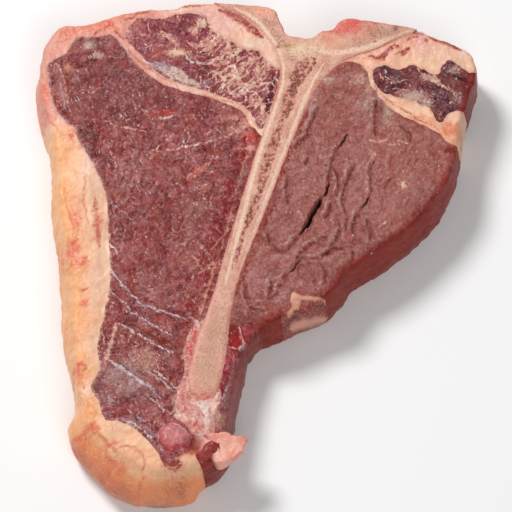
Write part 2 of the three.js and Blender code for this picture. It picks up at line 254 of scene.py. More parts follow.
def carve(name, surface, base, relief, painted, shoulder, underside=None):
    """One piece: a fine cut face, a wall, and a coarse face underneath, on the board or at the underside."""
    flat, triangles = surface
    low_flat, low_triangles = base
    edges = border(triangles)
    column = np.unique(edges)
    place = np.full(len(flat), -1)
    place[column] = np.arange(len(column))
    edge = nearest(tree_of(flat[column]), flat)[0]
    rim = nearest(rim_tree, flat)
    top = np.column_stack([flat, np.zeros(len(flat))])
    meet = np.where(rim[0] > 2, np.exp(-(edge/SEAM_REACH)**2), 0)
    top[:, 2] = face_height(flat) + relief(top, edge, rim[0])*(1 - meet)
    drop = np.clip(1 - (edge if underside else rim[0])/shoulder, 0, 1)
    top[:, 2] -= shoulder*(1 - np.sqrt(1 - 0.97*drop**2))
    heights = np.linspace(1, 0, WALL_RINGS + 1)[1:-1]
    under = underside(flat[column]) if underside else np.zeros(len(column))
    walls = [np.column_stack([flat[column], under + (top[column, 2] - under)*h]) for h in heights]
    low = np.column_stack([low_flat, underside(low_flat) if underside else np.zeros(len(low_flat))])
    points = np.vstack([top] + walls + [low])
    near = [rim[0]] + [rim[0][column]]*len(walls) + [nearest(rim_tree, low_flat)[0]]
    at = [rim[1]] + [rim[1][column]]*len(walls) + [nearest(rim_tree, low_flat)[1]]
    edge_all = np.concatenate([edge, np.zeros(len(column)*len(walls)), np.full(len(low_flat), 3.0)])
    near, at = np.concatenate(near), np.concatenate(at)
    low_start = len(flat) + len(column)*len(walls)
    low_border = np.unique(border(low_triangles))
    match = nearest(tree_of(low_flat[low_border]), flat[column])[1]
    foot = low_start + low_border[match]
    hoops = [len(flat) + k*len(column) + np.arange(len(column)) for k in range(len(walls))]
    rings = [column] + hoops + [foot]
    quads = []
    for above, below in zip(rings, rings[1:]):
        a, b = place[edges[:, 0]], place[edges[:, 1]]
        quads.append(np.column_stack([above[a], below[a], below[b], above[b]]))
    faces = [triangles] + quads + [low_triangles[:, ::-1] + low_start]
    placed = points if underside else settle(points, (near, at))
    seam = np.zeros(len(points), bool)
    seam[column[rim[0][column] > 0.4]] = underside is None
    return mesh_object(name, placed, faces, painted(points, edge_all, near), seam)


def cut_out(name, loop, relief, painted, shoulder=SHOULDER, fine=FACE_STEP, coarse=BASE_STEP):
    """One piece inside its loop, fine on top and coarse below. Later pieces leave its ground free."""
    piece = carve(name, region(loop, fine), region(loop, coarse), relief, painted, shoulder)
    claimed.append(loop)
    return piece


def stroke(points, *lines):
    """How near each point is to drawn lines: 1 on a line, 0 past half its width, with tapered ends."""
    mark = np.zeros(len(points))
    for width, *path in lines:
        path = np.array(path, float)
        lengths = np.hypot(*np.diff(path, axis=0).T)
        total, done = lengths.sum(), 0.0
        for start, end, length in zip(path, path[1:], lengths):
            step = points[:, :2] - start
            along = np.clip(step @ (end - start)/length**2, 0, 1)
            away = np.hypot(*(step - along[:, None]*(end - start)).T)
            share = (done + along*length)/total
            half = width/2*(1 - 0.75*np.abs(2*share - 1)**3)
            mark = np.maximum(mark, np.clip(1.4*(1 - away/half), 0, 1))
            done += length
    return mark


def patch(points, *spots):
    """How far inside given ovals each point is: each spot is its middle, half-widths and strength."""
    mark = np.zeros(len(points))
    for (x, y), (rx, ry), strength in spots:
        mark = np.maximum(mark, strength*np.exp(-((points[:, 0] - x)/rx)**2 - ((points[:, 1] - y)/ry)**2))
    return mark


def wander(points, amount, size, seed):
    """Points pushed about at random, so that a mark drawn on them looks grown."""
    shift = np.column_stack([rough(points, size, seed), rough(points, size, seed + 40),
        np.zeros(len(points))])
    return points + amount*shift


class Tint:
    """Colours brushed over a piece, one over the other, and how fully they cover it."""

    def __init__(self, points):
        self.points = points
        self.colour = np.zeros((len(points), 3))
        self.cover = np.zeros(len(points))

    def brush(self, colour, mask):
        mask = np.clip(mask, 0, 1)
        self.colour += mask[:, None]*(np.array(srgb(colour)[:3]) - self.colour)
        self.cover += mask*(1 - self.cover)

    def dab(self, colour, moved, grain, *spots):
        """Brushes on a few soft spots, broken up by noise: grain is its size, seed and strength."""
        self.brush(colour, mottled(self.points, patch(moved, *spots), *grain))

    def painted(self, **others):
        pure = self.colour/np.maximum(self.cover, 0.001)[:, None]
        return {"tint": pure, "cover": self.cover, **others}


def broken(points, seed, *lines):
    """Strokes that wander and fade in and out, as fat and sinew do in meat."""
    moved = wander(wander(points, 0.8, 3.2, seed), 0.35, 1.0, seed + 7)
    return stroke(moved, *lines)*np.clip(0.8 + 0.8*rough(points, 1.6, seed + 3, 2), 0.15, 1.1)


def mottled(points, mask, size, seed, strength=0.9):
    """A soft mask broken up by noise of the given size."""
    return np.clip(mask*(1 + strength*rough(points, size, seed)), 0, 1)


def srgb(text):
    """A colour written as six hex digits, as the linear values that materials take."""
    parts = [int(text[i:i + 2], 16)/255 for i in (0, 2, 4)]
    return tuple(p/12.92 if p <= 0.04045 else ((p + 0.055)/1.055)**2.4 for p in parts) + (1.0,)


def add_node(tree, kind, inputs=None, **settings):
    """A new node with its settings, whose inputs are given values or linked to other nodes' results."""
    node = tree.nodes.new(kind)
    for key, value in settings.items():
        setattr(node, key, value)
    for key, value in (inputs or {}).items():
        if isinstance(value, bpy.types.NodeSocket):
            tree.links.new(value, node.inputs[key])
        else:
            node.inputs[key].default_value = value
    return node


class Finish:
    """A material under construction: each method adds a node and gives back its result."""

    def __init__(self, name):
        self.material = bpy.data.materials.new(name)
        self.material.use_nodes = True
        self.tree = self.material.node_tree
        self.tree.nodes.clear()
        where = self.add("ShaderNodeTexCoord").outputs["Object"]
        scale = self.add("ShaderNodeVectorMath", {0: where, 3: 1/MM}, operation="SCALE")
        self.place = scale.outputs[0]  # in millimetres

    def add(self, kind, inputs=None, **settings):
        return add_node(self.tree, kind, inputs, **settings)

    def grain(self, size, detail=3.0, stretch=None, twist=0.0):
        place = self.place
        if stretch:
            turn, along, across = stretch
            place = self.add("ShaderNodeMapping", {
                "Vector": place, "Rotation": (0, 0, -math.radians(turn)),
            }).outputs[0]
            place = self.add("ShaderNodeVectorMath", {0: place, 1: (1/along, 1/across, 1)},
                operation="MULTIPLY").outputs[0]
        return self.add("ShaderNodeTexNoise", {
            "Vector": place, "Scale": 1/size, "Detail": detail, "Distortion": twist,
        }).outputs[0]

    def cells(self, size, feature="DISTANCE_TO_EDGE"):
        bent = self.add("ShaderNodeTexNoise", {"Vector": self.place, "Scale": 0.8/size}).outputs[1]
        place = self.add("ShaderNodeVectorMath", {0: bent, 1: (size*1.2,)*3, 2: self.place},
            operation="MULTIPLY_ADD").outputs[0]
        return self.add("ShaderNodeTexVoronoi", {"Vector": place, "Scale": 1/size},
            feature=feature).outputs[0]

    def threads(self, size, width, stretch=None):
        """Thin wandering threads: 1 along their middle, 0 beside them."""
        away = self.math("SUBTRACT", self.grain(size, 2, stretch), 0.5)
        return self.between(self.math("ABSOLUTE", away), 0.0, width, 1, 0)

    def painted(self, name, output="Fac"):
        return self.add("ShaderNodeAttribute", attribute_name=name).outputs[output]

    def tinted(self, colour, fray=0.5, size=0.7):
        """Lays the brushed colours over, with their edges broken by fine grain."""
        grain = self.between(self.grain(size, 5), 0.3, 0.7, -fray, fray)
        spread = self.plus(self.painted("cover"), self.times(self.painted("cover"), grain))
        return self.blend(self.between(spread, 0.02, 0.98), colour, self.painted("tint", "Color"))

    def between(self, value, low, high, to_low=0.0, to_high=1.0):
        node = self.add("ShaderNodeMapRange", {0: value, 1: low, 2: high, 3: to_low, 4: to_high},
            interpolation_type="SMOOTHSTEP")
        return node.outputs[0]

    def math(self, operation, a, b=0.0):
        return self.add("ShaderNodeMath", {0: a, 1: b}, operation=operation).outputs[0]

    def plus(self, a, b):
        return self.math("ADD", a, b)

    def times(self, a, b):
        return self.math("MULTIPLY", a, b)

    def blend(self, amount, a, b):
        """Mixes two colours, each a node's result or six hex digits."""
        a, b = (srgb(colour) if isinstance(colour, str) else colour for colour in (a, b))
        return self.add("ShaderNodeMix", {0: amount, 6: a, 7: b}, data_type="RGBA").outputs[2]

    def over(self, colour, other, *ramp):
        """Lays another colour over the first by a ramp: a value, its two limits and the results there."""
        return self.blend(self.between(*ramp), colour, other)

    def bumps(self, *layers):
        """Raised detail: each layer is a value and its height in millimetres."""
        normal = None
        for value, height in layers:
            inputs = {"Height": value, "Distance": height*MM, "Strength": 1.0}
            if normal:
                inputs["Normal"] = normal
            normal = self.add("ShaderNodeBump", inputs).outputs[0]
        return normal

    def close(self, colour, roughness, normal, **constants):
        film = self.bumps((self.grain(1.5, 2), 0.55), (self.grain(0.5, 2), 0.1))
        inputs = {"Base Color": colour, "Roughness": roughness, "Normal": normal, "Coat Normal": film}
        inputs.update({key.replace("_", " "): value for key, value in constants.items()})
        shader = self.add("ShaderNodeBsdfPrincipled", inputs)
        output = self.add("ShaderNodeOutputMaterial")
        self.tree.links.new(shader.outputs[0], output.inputs[0])
        return self.material


def place_piece(piece, slot, material, *nodes):
    """Gives a piece its finish and puts it on the steak in place of its plain solid."""
    piece.data.materials.append(material)
    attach(piece, "root")
    if nodes:
        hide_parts(*nodes)


BONE = [
    (-17, 103.5), (9, 104), (18, 93), (26, 96), (40, 99), (64.5, 93.5), (63.5, 89), (58.5, 86), (47, 80.3),
    (36, 76.2), (27.5, 68.8), (21.3, 58.5), (14.8, 42.5), (6.8, 20), (-0.5, 0), (-6, -14.5), (-9.3, -29),
    (-11, -45), (-13.3, -59), (-15.5, -64.5), (-20, -66.2), (-24.3, -63.5), (-25.7, -56), (-22.7, -43),
    (-17.3, -26.5), (-11.8, -5.5), (-6.2, 14), (-0.5, 34), (5.8, 54), (9.8, 70), (9.3, 76), (6.7, 82.5),
    (2.5, 88.8), (-3, 94.3), (-9, 98), (-14.5, 100),
]
MARROW = [  # width, then the line of the porous core
    (7.6, (20.4, 76.5), (18.6, 72.5), (16.4, 68), (15, 63.5)), (5.6, (15.4, 66), (12.8, 57.5), (10.6, 50)),
    (5.0, (10.8, 51), (7.4, 40), (4.4, 30.5), (2.4, 23), (1, 17.5)), (4.2, (1.6, 19), (-1.2, 11), (-3.6, 4)),
    (2.2, (-3.2, 6), (-6, -3), (-8.8, -13)),
]
RAW_MARROW = [
    (2.4, (22, 77.6), (23.2, 75.2), (21.6, 72.4), (20.6, 69.5)), (5.2, (17, 69), (15.2, 65), (14, 60.6)),
    (2.8, (13.8, 58.6), (12.6, 54.4), (11.6, 50)), (2.0, (7.8, 41.6), (6.6, 38)),
    (1.5, (5.2, 33), (3.8, 28.5)), (1.9, (2.6, 21), (1.2, 17)), (1.8, (-1.4, 12.4), (-3, 8), (-4, 4.6)),
]
HARD_RIM = [  # the dense pale bone on both sides of the core
    (3.0, (-9, 99.4), (-3, 96.4), (2, 92), (6, 85.6), (8.6, 79.6), (10.8, 73), (10.8, 66)),
    (2.6, (11.2, 74), (10.8, 66), (8.6, 58), (6.2, 50.5), (3.6, 43), (0.8, 33), (-1.9, 22), (-4.7, 10),
        (-7.3, -1), (-9.6, -10), (-12, -20)),
    (3.0, (27, 75), (22.6, 66.5), (19.2, 58.5), (15.4, 47.5), (11.6, 36.6), (7.8, 26), (4.2, 15), (1, 5),
        (-2, -3), (-5.4, -12), (-7.4, -19)),
    (3.6, (21, 82), (27, 79.4), (34.5, 79.4), (44, 81.6), (54, 85.6), (61, 88.8)),
]
BONE_SKIN = [
    (0.9, (22.3, 58), (25, 62.6), (27.8, 68.4), (31.2, 72.6), (36.4, 76.6), (41, 78.8), (47, 80.6), (55, 85),
        (60.5, 88.4)),
    (0.8, (-1, 90.6), (3.4, 86), (7.4, 80), (9.5, 75), (9.7, 70), (8.7, 62), (6, 54.6)),
    (0.7, (-6.6, 14), (-9.2, 2), (-11.4, -8)), (0.8, (9, 22), (5.5, 11), (1.6, 0), (-3, -11)),
]
bone_loop = ragged(smooth_loop(BONE, SEAM_STEP), 0.22, 4, 7)


def bone_relief(points, edge, rim):
    core = np.clip(1.9*stroke(wander(points, 0.8, 3, 90), *MARROW), 0, 1)
    pores = rough(points, 1.4, 93)
    saw = noise(points*np.array([0.35, 1.6, 1]), 1.4, 97)
    return 0.3 + 0.04*saw + 0.05*rough(points, 0.9, 95) - core*(0.2 + 0.3*np.clip(pores, -0.2, 1))


def bone_paint(points, edge, rim):
    moved = wander(points, 0.7, 3, 90)
    x, y, z = points.T
    marks = Tint(points)
    marks.brush("C9967F", mottled(moved, patch(moved, ((-17, -38), (3.6, 15), 0.95),
        ((-19, -54), (4.6, 8), 0.85), ((-11, -14), (2.4, 8), 0.5)), 2, 191, 0.4))
    marks.brush("EFA68D", patch(moved, ((4, 98.5), (6, 3.4), 1.0), ((22, 87.6), (8, 2.6), 0.8),
        ((12, 92), (2.4, 6), 0.8), ((30, 83), (5, 4), 0.35)))
    marks.brush("EBCDA9", patch(moved, ((17, 80.5), (7, 4), 0.75), ((26, 82), (6, 3), 0.5)))
    marks.brush("EAC6AE", 0.95*stroke(wander(points, 0.35, 3, 196), *HARD_RIM))
    marks.brush("C06A56", 0.7*np.exp(-(edge/0.6)**2)*(z > 20))
    marks.brush("E2A191", stroke(moved, (2.6, (-14.5, -20), (-18, -32), (-22, -45), (-24.4, -55), (-24, -63)),
        (2.2, (-10, -36), (-12, -48), (-13.6, -58)))*0.8)
    marks.brush("B98F78", mottled(moved, patch(moved, ((50.5, 88.4), (7, 3), 1.0),
        ((40.5, 82.6), (4, 0.9), 0.8)), 1.5, 192))
    red = patch(moved, ((37.5, 91.5), (6.5, 4.4), 1.0), ((32.5, 90), (4, 4), 0.8),
        ((48, 93.4), (7, 1.5), 0.8), ((29, 84), (3, 4), 0.35), ((44, 89), (5, 3), 0.5))
    marks.brush("DC5B52", mottled(points, red, 2.2, 193, 0.6))
    marks.brush("B47A4C", patch(moved, ((12.6, 82.4), (2.8, 1.1), 0.9)))
    marks.brush("7C3730", patch(wander(points, 0.4, 1, 194), ((8.7, 81.8), (0.9, 0.7), 1.0),
        ((55.7, 90.2), (1, 1.3), 0.9), ((57.6, 91.4), (1.2, 0.7), 0.8), ((47.4, 84), (0.8, 0.5), 0.9),
        ((45, 91), (0.5, 0.5), 0.7), ((24.6, 80.7), (0.8, 0.4), 0.5)))
    marks.brush("B4523C", 0.85*stroke(wander(points, 0.25, 3, 197), *BONE_SKIN))
    marks.dab("C9554A", moved, (1.5, 195), ((-20, -64.5), (6, 2), 0.5), ((-24.6, -47), (1.2, 5), 0.7),
        ((-12.5, -60), (1.6, 4), 0.5))
    side = np.clip(1 - rim/0.5, 0, 1)*(z < 22)
    marks.brush("DDAA93", 0.85*side)
    marks.brush("C46A58", mottled(points, 0.5*side, 5, 198, 1.4))
    spongy = np.maximum(
        patch(moved, ((50, 88), (9, 3.6), 1.0), ((15, 78), (6, 5), 0.6), ((42, 84), (6, 2), 0.7),
            ((-17, -48), (3.6, 16), 0.45)),
        stroke(moved, (5, (2, 96.5), (6, 91), (9, 85.8), (12.4, 81), (14, 76))),
    )
    return marks.painted(core=np.clip(1.9*stroke(moved, *MARROW), 0, 1),
        raw=stroke(wander(points, 0.8, 2, 190), *RAW_MARROW), spongy=spongy)


def bone_finish():
    f = Finish("sawn_bone")
    colour = f.over("CC917C", "DCAA94", f.grain(4, 4), 0.35, 0.65)
    colour = f.tinted(colour, 0.3)
    fine = f.grain(0.55, 5)
    colour = f.over(colour, "F3DDD0", fine, 0.5, 0.72, 0, 0.28)
    colour = f.over(colour, "A86A5B", fine, 0.3, 0.46, 0.3, 0)
    pores = f.between(f.cells(1.0, "F1"), 0.2, 0.6)
    pored = f.over("8F6353", "D5B09C", f.grain(0.9, 5), 0.4, 0.6)
    spongy = f.times(f.painted("spongy"), f.between(f.grain(1.0, 4), 0.35, 0.65, 0.1, 1.1))
    colour = f.over(colour, pored, spongy, 0.2, 0.9, 0, 0.75)
    marrow = f.over("88382C", "C98A76", f.grain(1.6, 4), 0.42, 0.56)
    core = f.plus(f.painted("core"), f.between(f.grain(0.8, 4), 0.3, 0.7, -0.4, 0.4))
    colour = f.over(colour, marrow, core, 0.15, 0.7, 0, 0.9)
    raw = f.over("5A1C14", "96503C", f.grain(0.7, 4), 0.4, 0.62)
    bled = f.plus(f.painted("raw"), f.between(f.grain(0.8, 5), 0.3, 0.7, -0.5, 0.5))
    colour = f.over(colour, raw, bled, 0.3, 0.8, 0, 0.9)
    # Painted glints: small pale specks of painted highlight on the wet marrow.
    marrow_glints = f.times(f.between(f.grain(0.5, 2), 0.6, 0.68), f.painted("core"))
    colour = f.blend(f.times(marrow_glints, 0.7), colour, "EAD8CF")
    normal = f.bumps((f.grain(0.8, 5), 0.3), (pores, 0.08))
    return f.close(colour, f.between(f.grain(1.5, 4), 0.3, 0.7, 0.4, 0.6), normal,
                   Specular_IOR_Level=0.2, Coat_Weight=0.1, Coat_Roughness=0.25)


bone = cut_out("t_bone_sawn", bone_loop, bone_relief, bone_paint, shoulder=0.9)
place_piece(bone, "bone", bone_finish(), "t_bone")


# THE LEAN NUGGET
# A knob of dark lean left standing at the bone's tip when the tail was trimmed. It is domed and very wet.
# All lean shares one kind of finish: fibre bundles, a pale film, partly painted wet sheen, that dulls the
# red, fat, sinew with painted sheen, painted shade in the hollows, and painted glints.
NUGGET = [
    (-36.8, -80.5), (-34.5, -75.5), (-31, -73.8), (-26.5, -76.5), (-24, -80.5), (-24.5, -84), (-31.5, -88.5),
    (-34.8, -85.5),
]
nugget_loop = ragged(smooth_loop(NUGGET, SEAM_STEP), 0.3, 3, 31)


def lean_finish(name, deep, flesh, film, net, lace, wet=0.25, side="7A2622", hollow_shade=0.6, top_film_and_sheen=0.45,
    sparkle=0.8):
    """Raw lean: deep and flesh are its reds, film the pale threads round bundles of net's size."""
    f = Finish(name)
    fine = f.grain(0.7, 4)
    lumps = f.grain(1.2*net, 3, twist=0.9)
    dashes = f.grain(1.0, 3, (35, 2.4, 0.8), twist=1.5)
    colour = f.over(deep, flesh, f.grain(6, 4, twist=1), 0.42, 0.58)
    colour = f.over(colour, "8E3A26", f.grain(9, 3), 0.46, 0.62, 0, 0.45)
    # The film value is a pale veil over the lean: partly real film, partly painted wet sheen.
    film_and_sheen = f.painted("film_and_sheen")
    calm = f.between(film_and_sheen, 0, 0.9, 1, 0.2)
    # Painted shade and sheen: the low parts of the lumps, which the bump below raises, are darkened, and the
    # high parts take the pale film.
    colour = f.blend(f.times(f.between(lumps, 0.32, 0.48, hollow_shade, 0), calm), colour, "6A0E12")
    colour = f.blend(f.times(f.between(lumps, 0.5, 0.66, 0, top_film_and_sheen), calm), colour, film)
    colour = f.over(colour, deep, dashes, 0.3, 0.46, 0.25 + 0.4*lace, 0)
    colour = f.over(colour, film, dashes, 0.54, 0.7, 0, 0.15 + 0.4*lace)
    patchy = f.plus(f.between(f.grain(5, 4), 0.42, 0.6, 0.0, 1), f.times(film_and_sheen, 0.25))
    web = f.threads(net, 0.05)
    colour = f.blend(f.times(f.times(web, patchy), lace), colour, film)
    small_web = f.times(f.threads(net*0.4, 0.08), f.between(f.grain(3.3, 3), 0.44, 0.6))
    colour = f.blend(f.times(small_web, 0.8*lace), colour, film)
    # Painted wet sheen: the film colour misted over where the film value lies.
    misted_film_and_sheen = f.times(film_and_sheen, f.between(f.grain(1.4, 5), 0.32, 0.68, 0.2, 1.0))
    colour = f.over(colour, film, misted_film_and_sheen, 0.05, 1, 0, 0.42)
    stain = f.times(f.painted("stain"), f.between(f.grain(1.4, 4), 0.3, 0.7, 0.35, 1.15))
    colour = f.over(colour, "881517", stain, 0.12, 0.95, 0, 0.85)
    # Lilac-white sinew, which also carries painted sheen and highlights along ridges.
    silver_and_sheen = f.times(f.painted("sinew_and_sheen"), f.between(fine, 0.3, 0.7, 0.2, 1.3))
    colour = f.over(colour, "C09CA4", silver_and_sheen, 0.15, 0.9, 0, 0.75)
    frayed = f.plus(f.painted("marbling"), f.between(fine, 0.25, 0.75, -0.35, 0.35))
    colour = f.over(colour, "C0766B", frayed, 0.12, 0.5, 0, 0.75)
    creamy = f.over("D09683", "E8C4AE", f.grain(2.4, 3), 0.4, 0.6)
    colour = f.over(colour, creamy, frayed, 0.42, 0.85, 0, 0.9)
    colour = f.tinted(colour, 0.6, 0.7)
    # Near-black red where the dark value lies: darker lean, and painted shade in cuts, splits, hollows, on
    # shaded walls and along edges.
    colour = f.over(colour, "2E0606", f.painted("dark_and_shade"), 0.05, 0.95, 0, 0.9)
    streaks = f.between(f.grain(1.2, 4, (0, 5, 5)), 0.35, 0.65)
    skin = f.blend(streaks, side, "9A2C1E")
    colour = f.blend(f.painted("side"), colour, skin)
    # Painted glints: small white-lilac specks of painted highlight, kept off the side.
    painted_glint = f.times(f.between(f.grain(0.7, 2, (120, 1.8, 0.8)), 0.6, 0.66),
        f.between(f.grain(4.4, 3), 0.54, 0.62))
    matte = f.math("SUBTRACT", 1.0, f.painted("side"))
    colour = f.blend(f.times(f.times(painted_glint, matte), sparkle), colour, "EBDCE0")
    roughness = f.between(f.grain(1.1, 4), 0.3, 0.7, 0.34, 0.55)
    normal = f.bumps((lumps, 0.9), (web, 0.12), (dashes, 0.25), (fine, 0.12))
    return f.close(colour, roughness, normal, Specular_IOR_Level=0.12, Coat_Weight=wet, Coat_Roughness=0.1,
                   Subsurface_Weight=0.05, Subsurface_Radius=(0.9, 0.25, 0.15), Subsurface_Scale=0.001)


def flank(points, rim, depth=2.2):
    """How far round the outer side a point of the lean lies: 0 on the cut face, 1 down the side."""
    return np.clip(1.15 - rim/depth, 0, 1)


def nugget_relief(points, edge, rim):
    ridge = stroke(points, (3.4, (-32.5, -76), (-28.6, -77.8), (-25.6, -80.4)),
        (3, (-33.6, -77), (-35, -81), (-33.4, -86)))
    facets = 1.1*np.abs(noise(wander(points, 0.6, 3, 34), 4.2, 36))
    return 1.7*(1 - np.exp(-(edge/2.0)**2)) - 0.6 + 0.5*ridge + 0.3*rough(points, 2.2, 33) + facets


def nugget_paint(points, edge, rim):
    moved = wander(points, 0.8, 2.5, 35)
    marks = Tint(points)
    # Lighter pink over the top of the dome: painted light.
    marks.brush("C4787A", patch(moved, ((-30.5, -80), (4.6, 4.6), 0.85)))
    marks.dab("D88E8C", moved, (1.6, 36), ((-29, -82), (3, 2.2), 0.9), ((-33, -79), (2.2, 2), 0.6))
    # Painted highlight along the ridge of the dome.
    marks.brush("EBD2D4", stroke(wander(points, 0.3, 2, 37), (0.9, (-31.8, -75.9), (-29, -77.2), (-26.6, -79),
        (-24.9, -81))))
    # The red stain deepens towards the edges: partly its own crimson, partly painted shade on the dome's
    # sides. The film value on top is painted sheen, and the dark value is painted shade along its edges and a
    # painted shadow at its foot.
    return marks.painted(
        marbling=np.zeros(len(points)), film_and_sheen=patch(moved, ((-30.5, -81), (4, 4), 0.3)),
        stain=np.clip(1.1 - edge/2.6, 0, 1),
        sinew_and_sheen=np.zeros(len(points)), dark_and_shade=0.3*np.exp(-(edge/0.5)**2) + 0.4*patch(points,
            ((-29.5, -87.6), (4, 1.6), 1.0)),
        side=np.zeros(len(points)),
    )


nugget = cut_out("nugget_of_lean", nugget_loop, nugget_relief, nugget_paint, fine=0.4, coarse=1.5)
nugget_skin = lean_finish("nugget_lean", "C23A40", "DA6466", "EEB0B0", 3, 0.3, 0.5, hollow_shade=0.2)
place_piece(nugget, "dark_lean", nugget_skin, "lean_nugget")


# THE CHINE MUSCLE
# The multifidus, in the corner between the loin and the bone. It is the most marbled muscle: cream fat curls
# through it like roots, and a broad white sheet of fat and sinew covers the side next to the loin.
CHINE = [
    (-52.5, 86.5), (-47, 94.6), (-38, 94.6), (-32, 96.5), (-21, 95.8), (-17, 89), (-8.5, 83.5), (-5, 80.8),
    (1.5, 79.5), (4, 75.5), (11, 71), (10, 60), (1.5, 45.5), (-1.2, 50), (-4, 55.2), (-10.5, 58.8),
    (-27.5, 64.8), (-34.5, 67.3), (-40, 71), (-48.7, 81),
]
CHINE_VEINS = [
    (2.2, (-39.5, 89), (-35.5, 86.8), (-32, 83.5), (-30, 80)), (1.0, (-28.5, 89), (-25, 89.3), (-22.5, 88.5)),
    (1.1, (-26, 84), (-22.5, 82.3), (-19, 84), (-17.5, 88.5), (-18.5, 92.5)),
    (0.8, (-24.5, 81.5), (-19.5, 82), (-15.5, 86)), (0.9, (-23, 78), (-17.5, 78.8), (-13, 82.5), (-11, 87)),
    (1.2, (-20.5, 75), (-14.5, 76.8), (-10.5, 80.5), (-8, 82.5)),
    (1.5, (-41, 77), (-36, 79.2), (-31, 79.3), (-28, 79.8), (-25.5, 77), (-22.5, 74.3), (-16.5, 74.4)),
    (2.6, (-36, 78.2), (-31.5, 79), (-28.5, 79.5)), (1.3, (-16, 73), (-12, 75.5), (-7, 78.5), (-4, 80.5)),
    (1.4, (-14, 68), (-9, 70.5), (-4, 74), (0.5, 78.5)),
    (1.2, (-14.5, 63.5), (-10.5, 67), (-5, 69), (-1, 71.5), (2.5, 75)),
    (1.0, (-12, 61.5), (-7.5, 65), (-3, 66), (1, 70), (3, 72.5)),
    (0.9, (-6, 60), (-3, 62.5), (1, 65), (5.5, 66.2), (7.5, 64.5)), (0.9, (-9, 73), (-5.5, 66), (-4.5, 61)),
    (0.9, (0.5, 70), (1, 64), (-0.5, 58)), (0.9, (5, 69), (6.5, 66), (8.5, 62)),
    (1.0, (-1.5, 59), (1.5, 57), (3.5, 53)), (0.7, (-47, 88), (-43, 86.5), (-40, 84)),
    (0.7, (-44, 81), (-40, 82.5), (-36, 82)), (0.7, (-37, 93), (-36, 90), (-33.5, 87.5)),
    (0.6, (-31, 94), (-31.5, 90)), (0.6, (-27, 94.5), (-26, 91.5)), (0.8, (-45, 95), (-43, 91.5), (-42, 88)),
    (0.9, (-49.5, 85), (-45.5, 85.5)), (0.8, (-12, 70), (-13, 65), (-16, 61.5)),
    (0.8, (-19, 72), (-16.5, 70.5), (-15.5, 66)),
]
CHINE_FINGERS = [  # fat that reaches in between the bundles from the upper right
    (2.4, (-13.5, 89), (-16, 85.6), (-19.5, 82.6), (-23, 81.6)),
    (1.7, (-9, 86), (-11, 82), (-13, 79.4), (-16.6, 75.6)), (1.4, (-5, 82.5), (-8, 78.8), (-12, 76)),
    (1.0, (-17, 88.5), (-19.5, 85.5), (-23, 83.4)), (1.6, (-27, 90), (-25, 89.2), (-22.6, 89.8)),
    (1.4, (-27.6, 84), (-25, 82), (-22.4, 82.6)), (1.0, (-31.5, 96), (-29.6, 92.6)),
    (1.3, (4, 79), (3.4, 75), (5, 71)), (1.1, (-1, 78), (-4.4, 74.6), (-8, 73.4)),
    (3.6, (-9.3, 90.8), (-12.9, 87.5), (-17, 83.8)), (2.2, (-17, 83.8), (-20.6, 82), (-24, 81.4)),
    (2.2, (-12.9, 85.9), (-17.7, 81.8), (-22.5, 79.3)), (1.2, (-5.6, 81.8), (-11.4, 78.5), (-18.7, 73.6)),
    (2.4, (3.3, 77.7), (-4.1, 73.6), (-8.5, 67.9), (-12.8, 61.4)),
    (2.6, (4.7, 72.8), (0.3, 67.1), (-4.1, 63), (-8.4, 59)),
]
CHINE_WHITE = [  # sinew, whiter than the fat
    (1.2, (-31, 78.6), (-28, 78), (-26.4, 75.8), (-24.4, 74.6), (-20, 74), (-15.4, 74.8)),
    (1.3, (-13.6, 61.6), (-12.6, 64.6), (-9.6, 66.4)), (1.2, (-10.5, 61), (-6, 62.4), (-3, 64.8), (0.5, 66)),
    (1.3, (-4.5, 64), (-3, 62), (0, 61.6), (2.6, 58)), (0.9, (1.5, 65.4), (4.6, 66.2), (7, 67.2)),
    (1.0, (-9, 73.6), (-7.4, 70)), (1.5, (-51.6, 82.4), (-48, 79.2), (-45, 76.4), (-41.6, 74)),
]
CHINE_SHEET = [  # the pale cover next to the loin
    (5.4, (-42, 74), (-37, 72), (-33, 69.5), (-28, 66.8), (-22, 64.4)),
    (4, (-34, 73), (-30, 70), (-26, 66.6)),
]
CHINE_ISLANDS = [
    ((-21.8, 92.2), (2.3, 2.4), 1.3), ((-24.4, 89), (1.9, 1.8), 1.1), ((-31, 79.2), (3.8, 1.4), 1.1),
    ((-26, 79), (1.2, 1), 0.7), ((-12.4, 75), (2.4, 1.5), 0.8), ((-8, 70.6), (2, 2.4), 0.75),
    ((1, 68.8), (1.5, 2.6), 0.85), ((-4, 64.4), (1.2, 2), 0.8), ((-10.6, 64.4), (2, 1.2), 0.6),
    ((1, 73.6), (1.6, 1.6), 0.5), ((-1.4, 57), (2, 1.2), 0.6), ((3, 51), (2.4, 4), 0.75),
    ((-53, 89), (3, 4), 0.7), ((-47, 92.6), (2, 2.6), 0.4), ((-42, 95.6), (7, 1.2), 0.5),
]
chine_loop = ragged(smooth_loop(CHINE, SEAM_STEP), 0.6, 3, 41)


def vein_net(points, size, width, seed):
    """A wandering net of thin lines, where a slow random field crosses zero."""
    return np.clip(1 - np.abs(rough(points, size, seed, 2))/width, 0, 1)


def bundles(points, turn, along, across, seed):
    """Long fibre bundles as stretched cells: each point's distance in millimetres from the nearest seam."""
    angle = math.radians(turn)
    stretched = np.column_stack([
        (points[:, 0]*math.cos(angle) + points[:, 1]*math.sin(angle))/along,
        (points[:, 1]*math.cos(angle) - points[:, 0]*math.sin(angle))/across,
    ])
    low, high = np.floor(stretched.min(0)).astype(int) - 1, np.ceil(stretched.max(0)).astype(int) + 1
    cells = np.array([(i, j) for i in range(low[0], high[0]) for j in range(low[1], high[1])], float)
    tree = tree_of(cells + np.random.default_rng(seed).uniform(0.1, 0.9, cells.shape))
    pairs = [tree.find_n((u, v, 0), 2) for u, v in stretched.tolist()]
    return np.array([second[2] - first[2] for first, second in pairs])*across/2


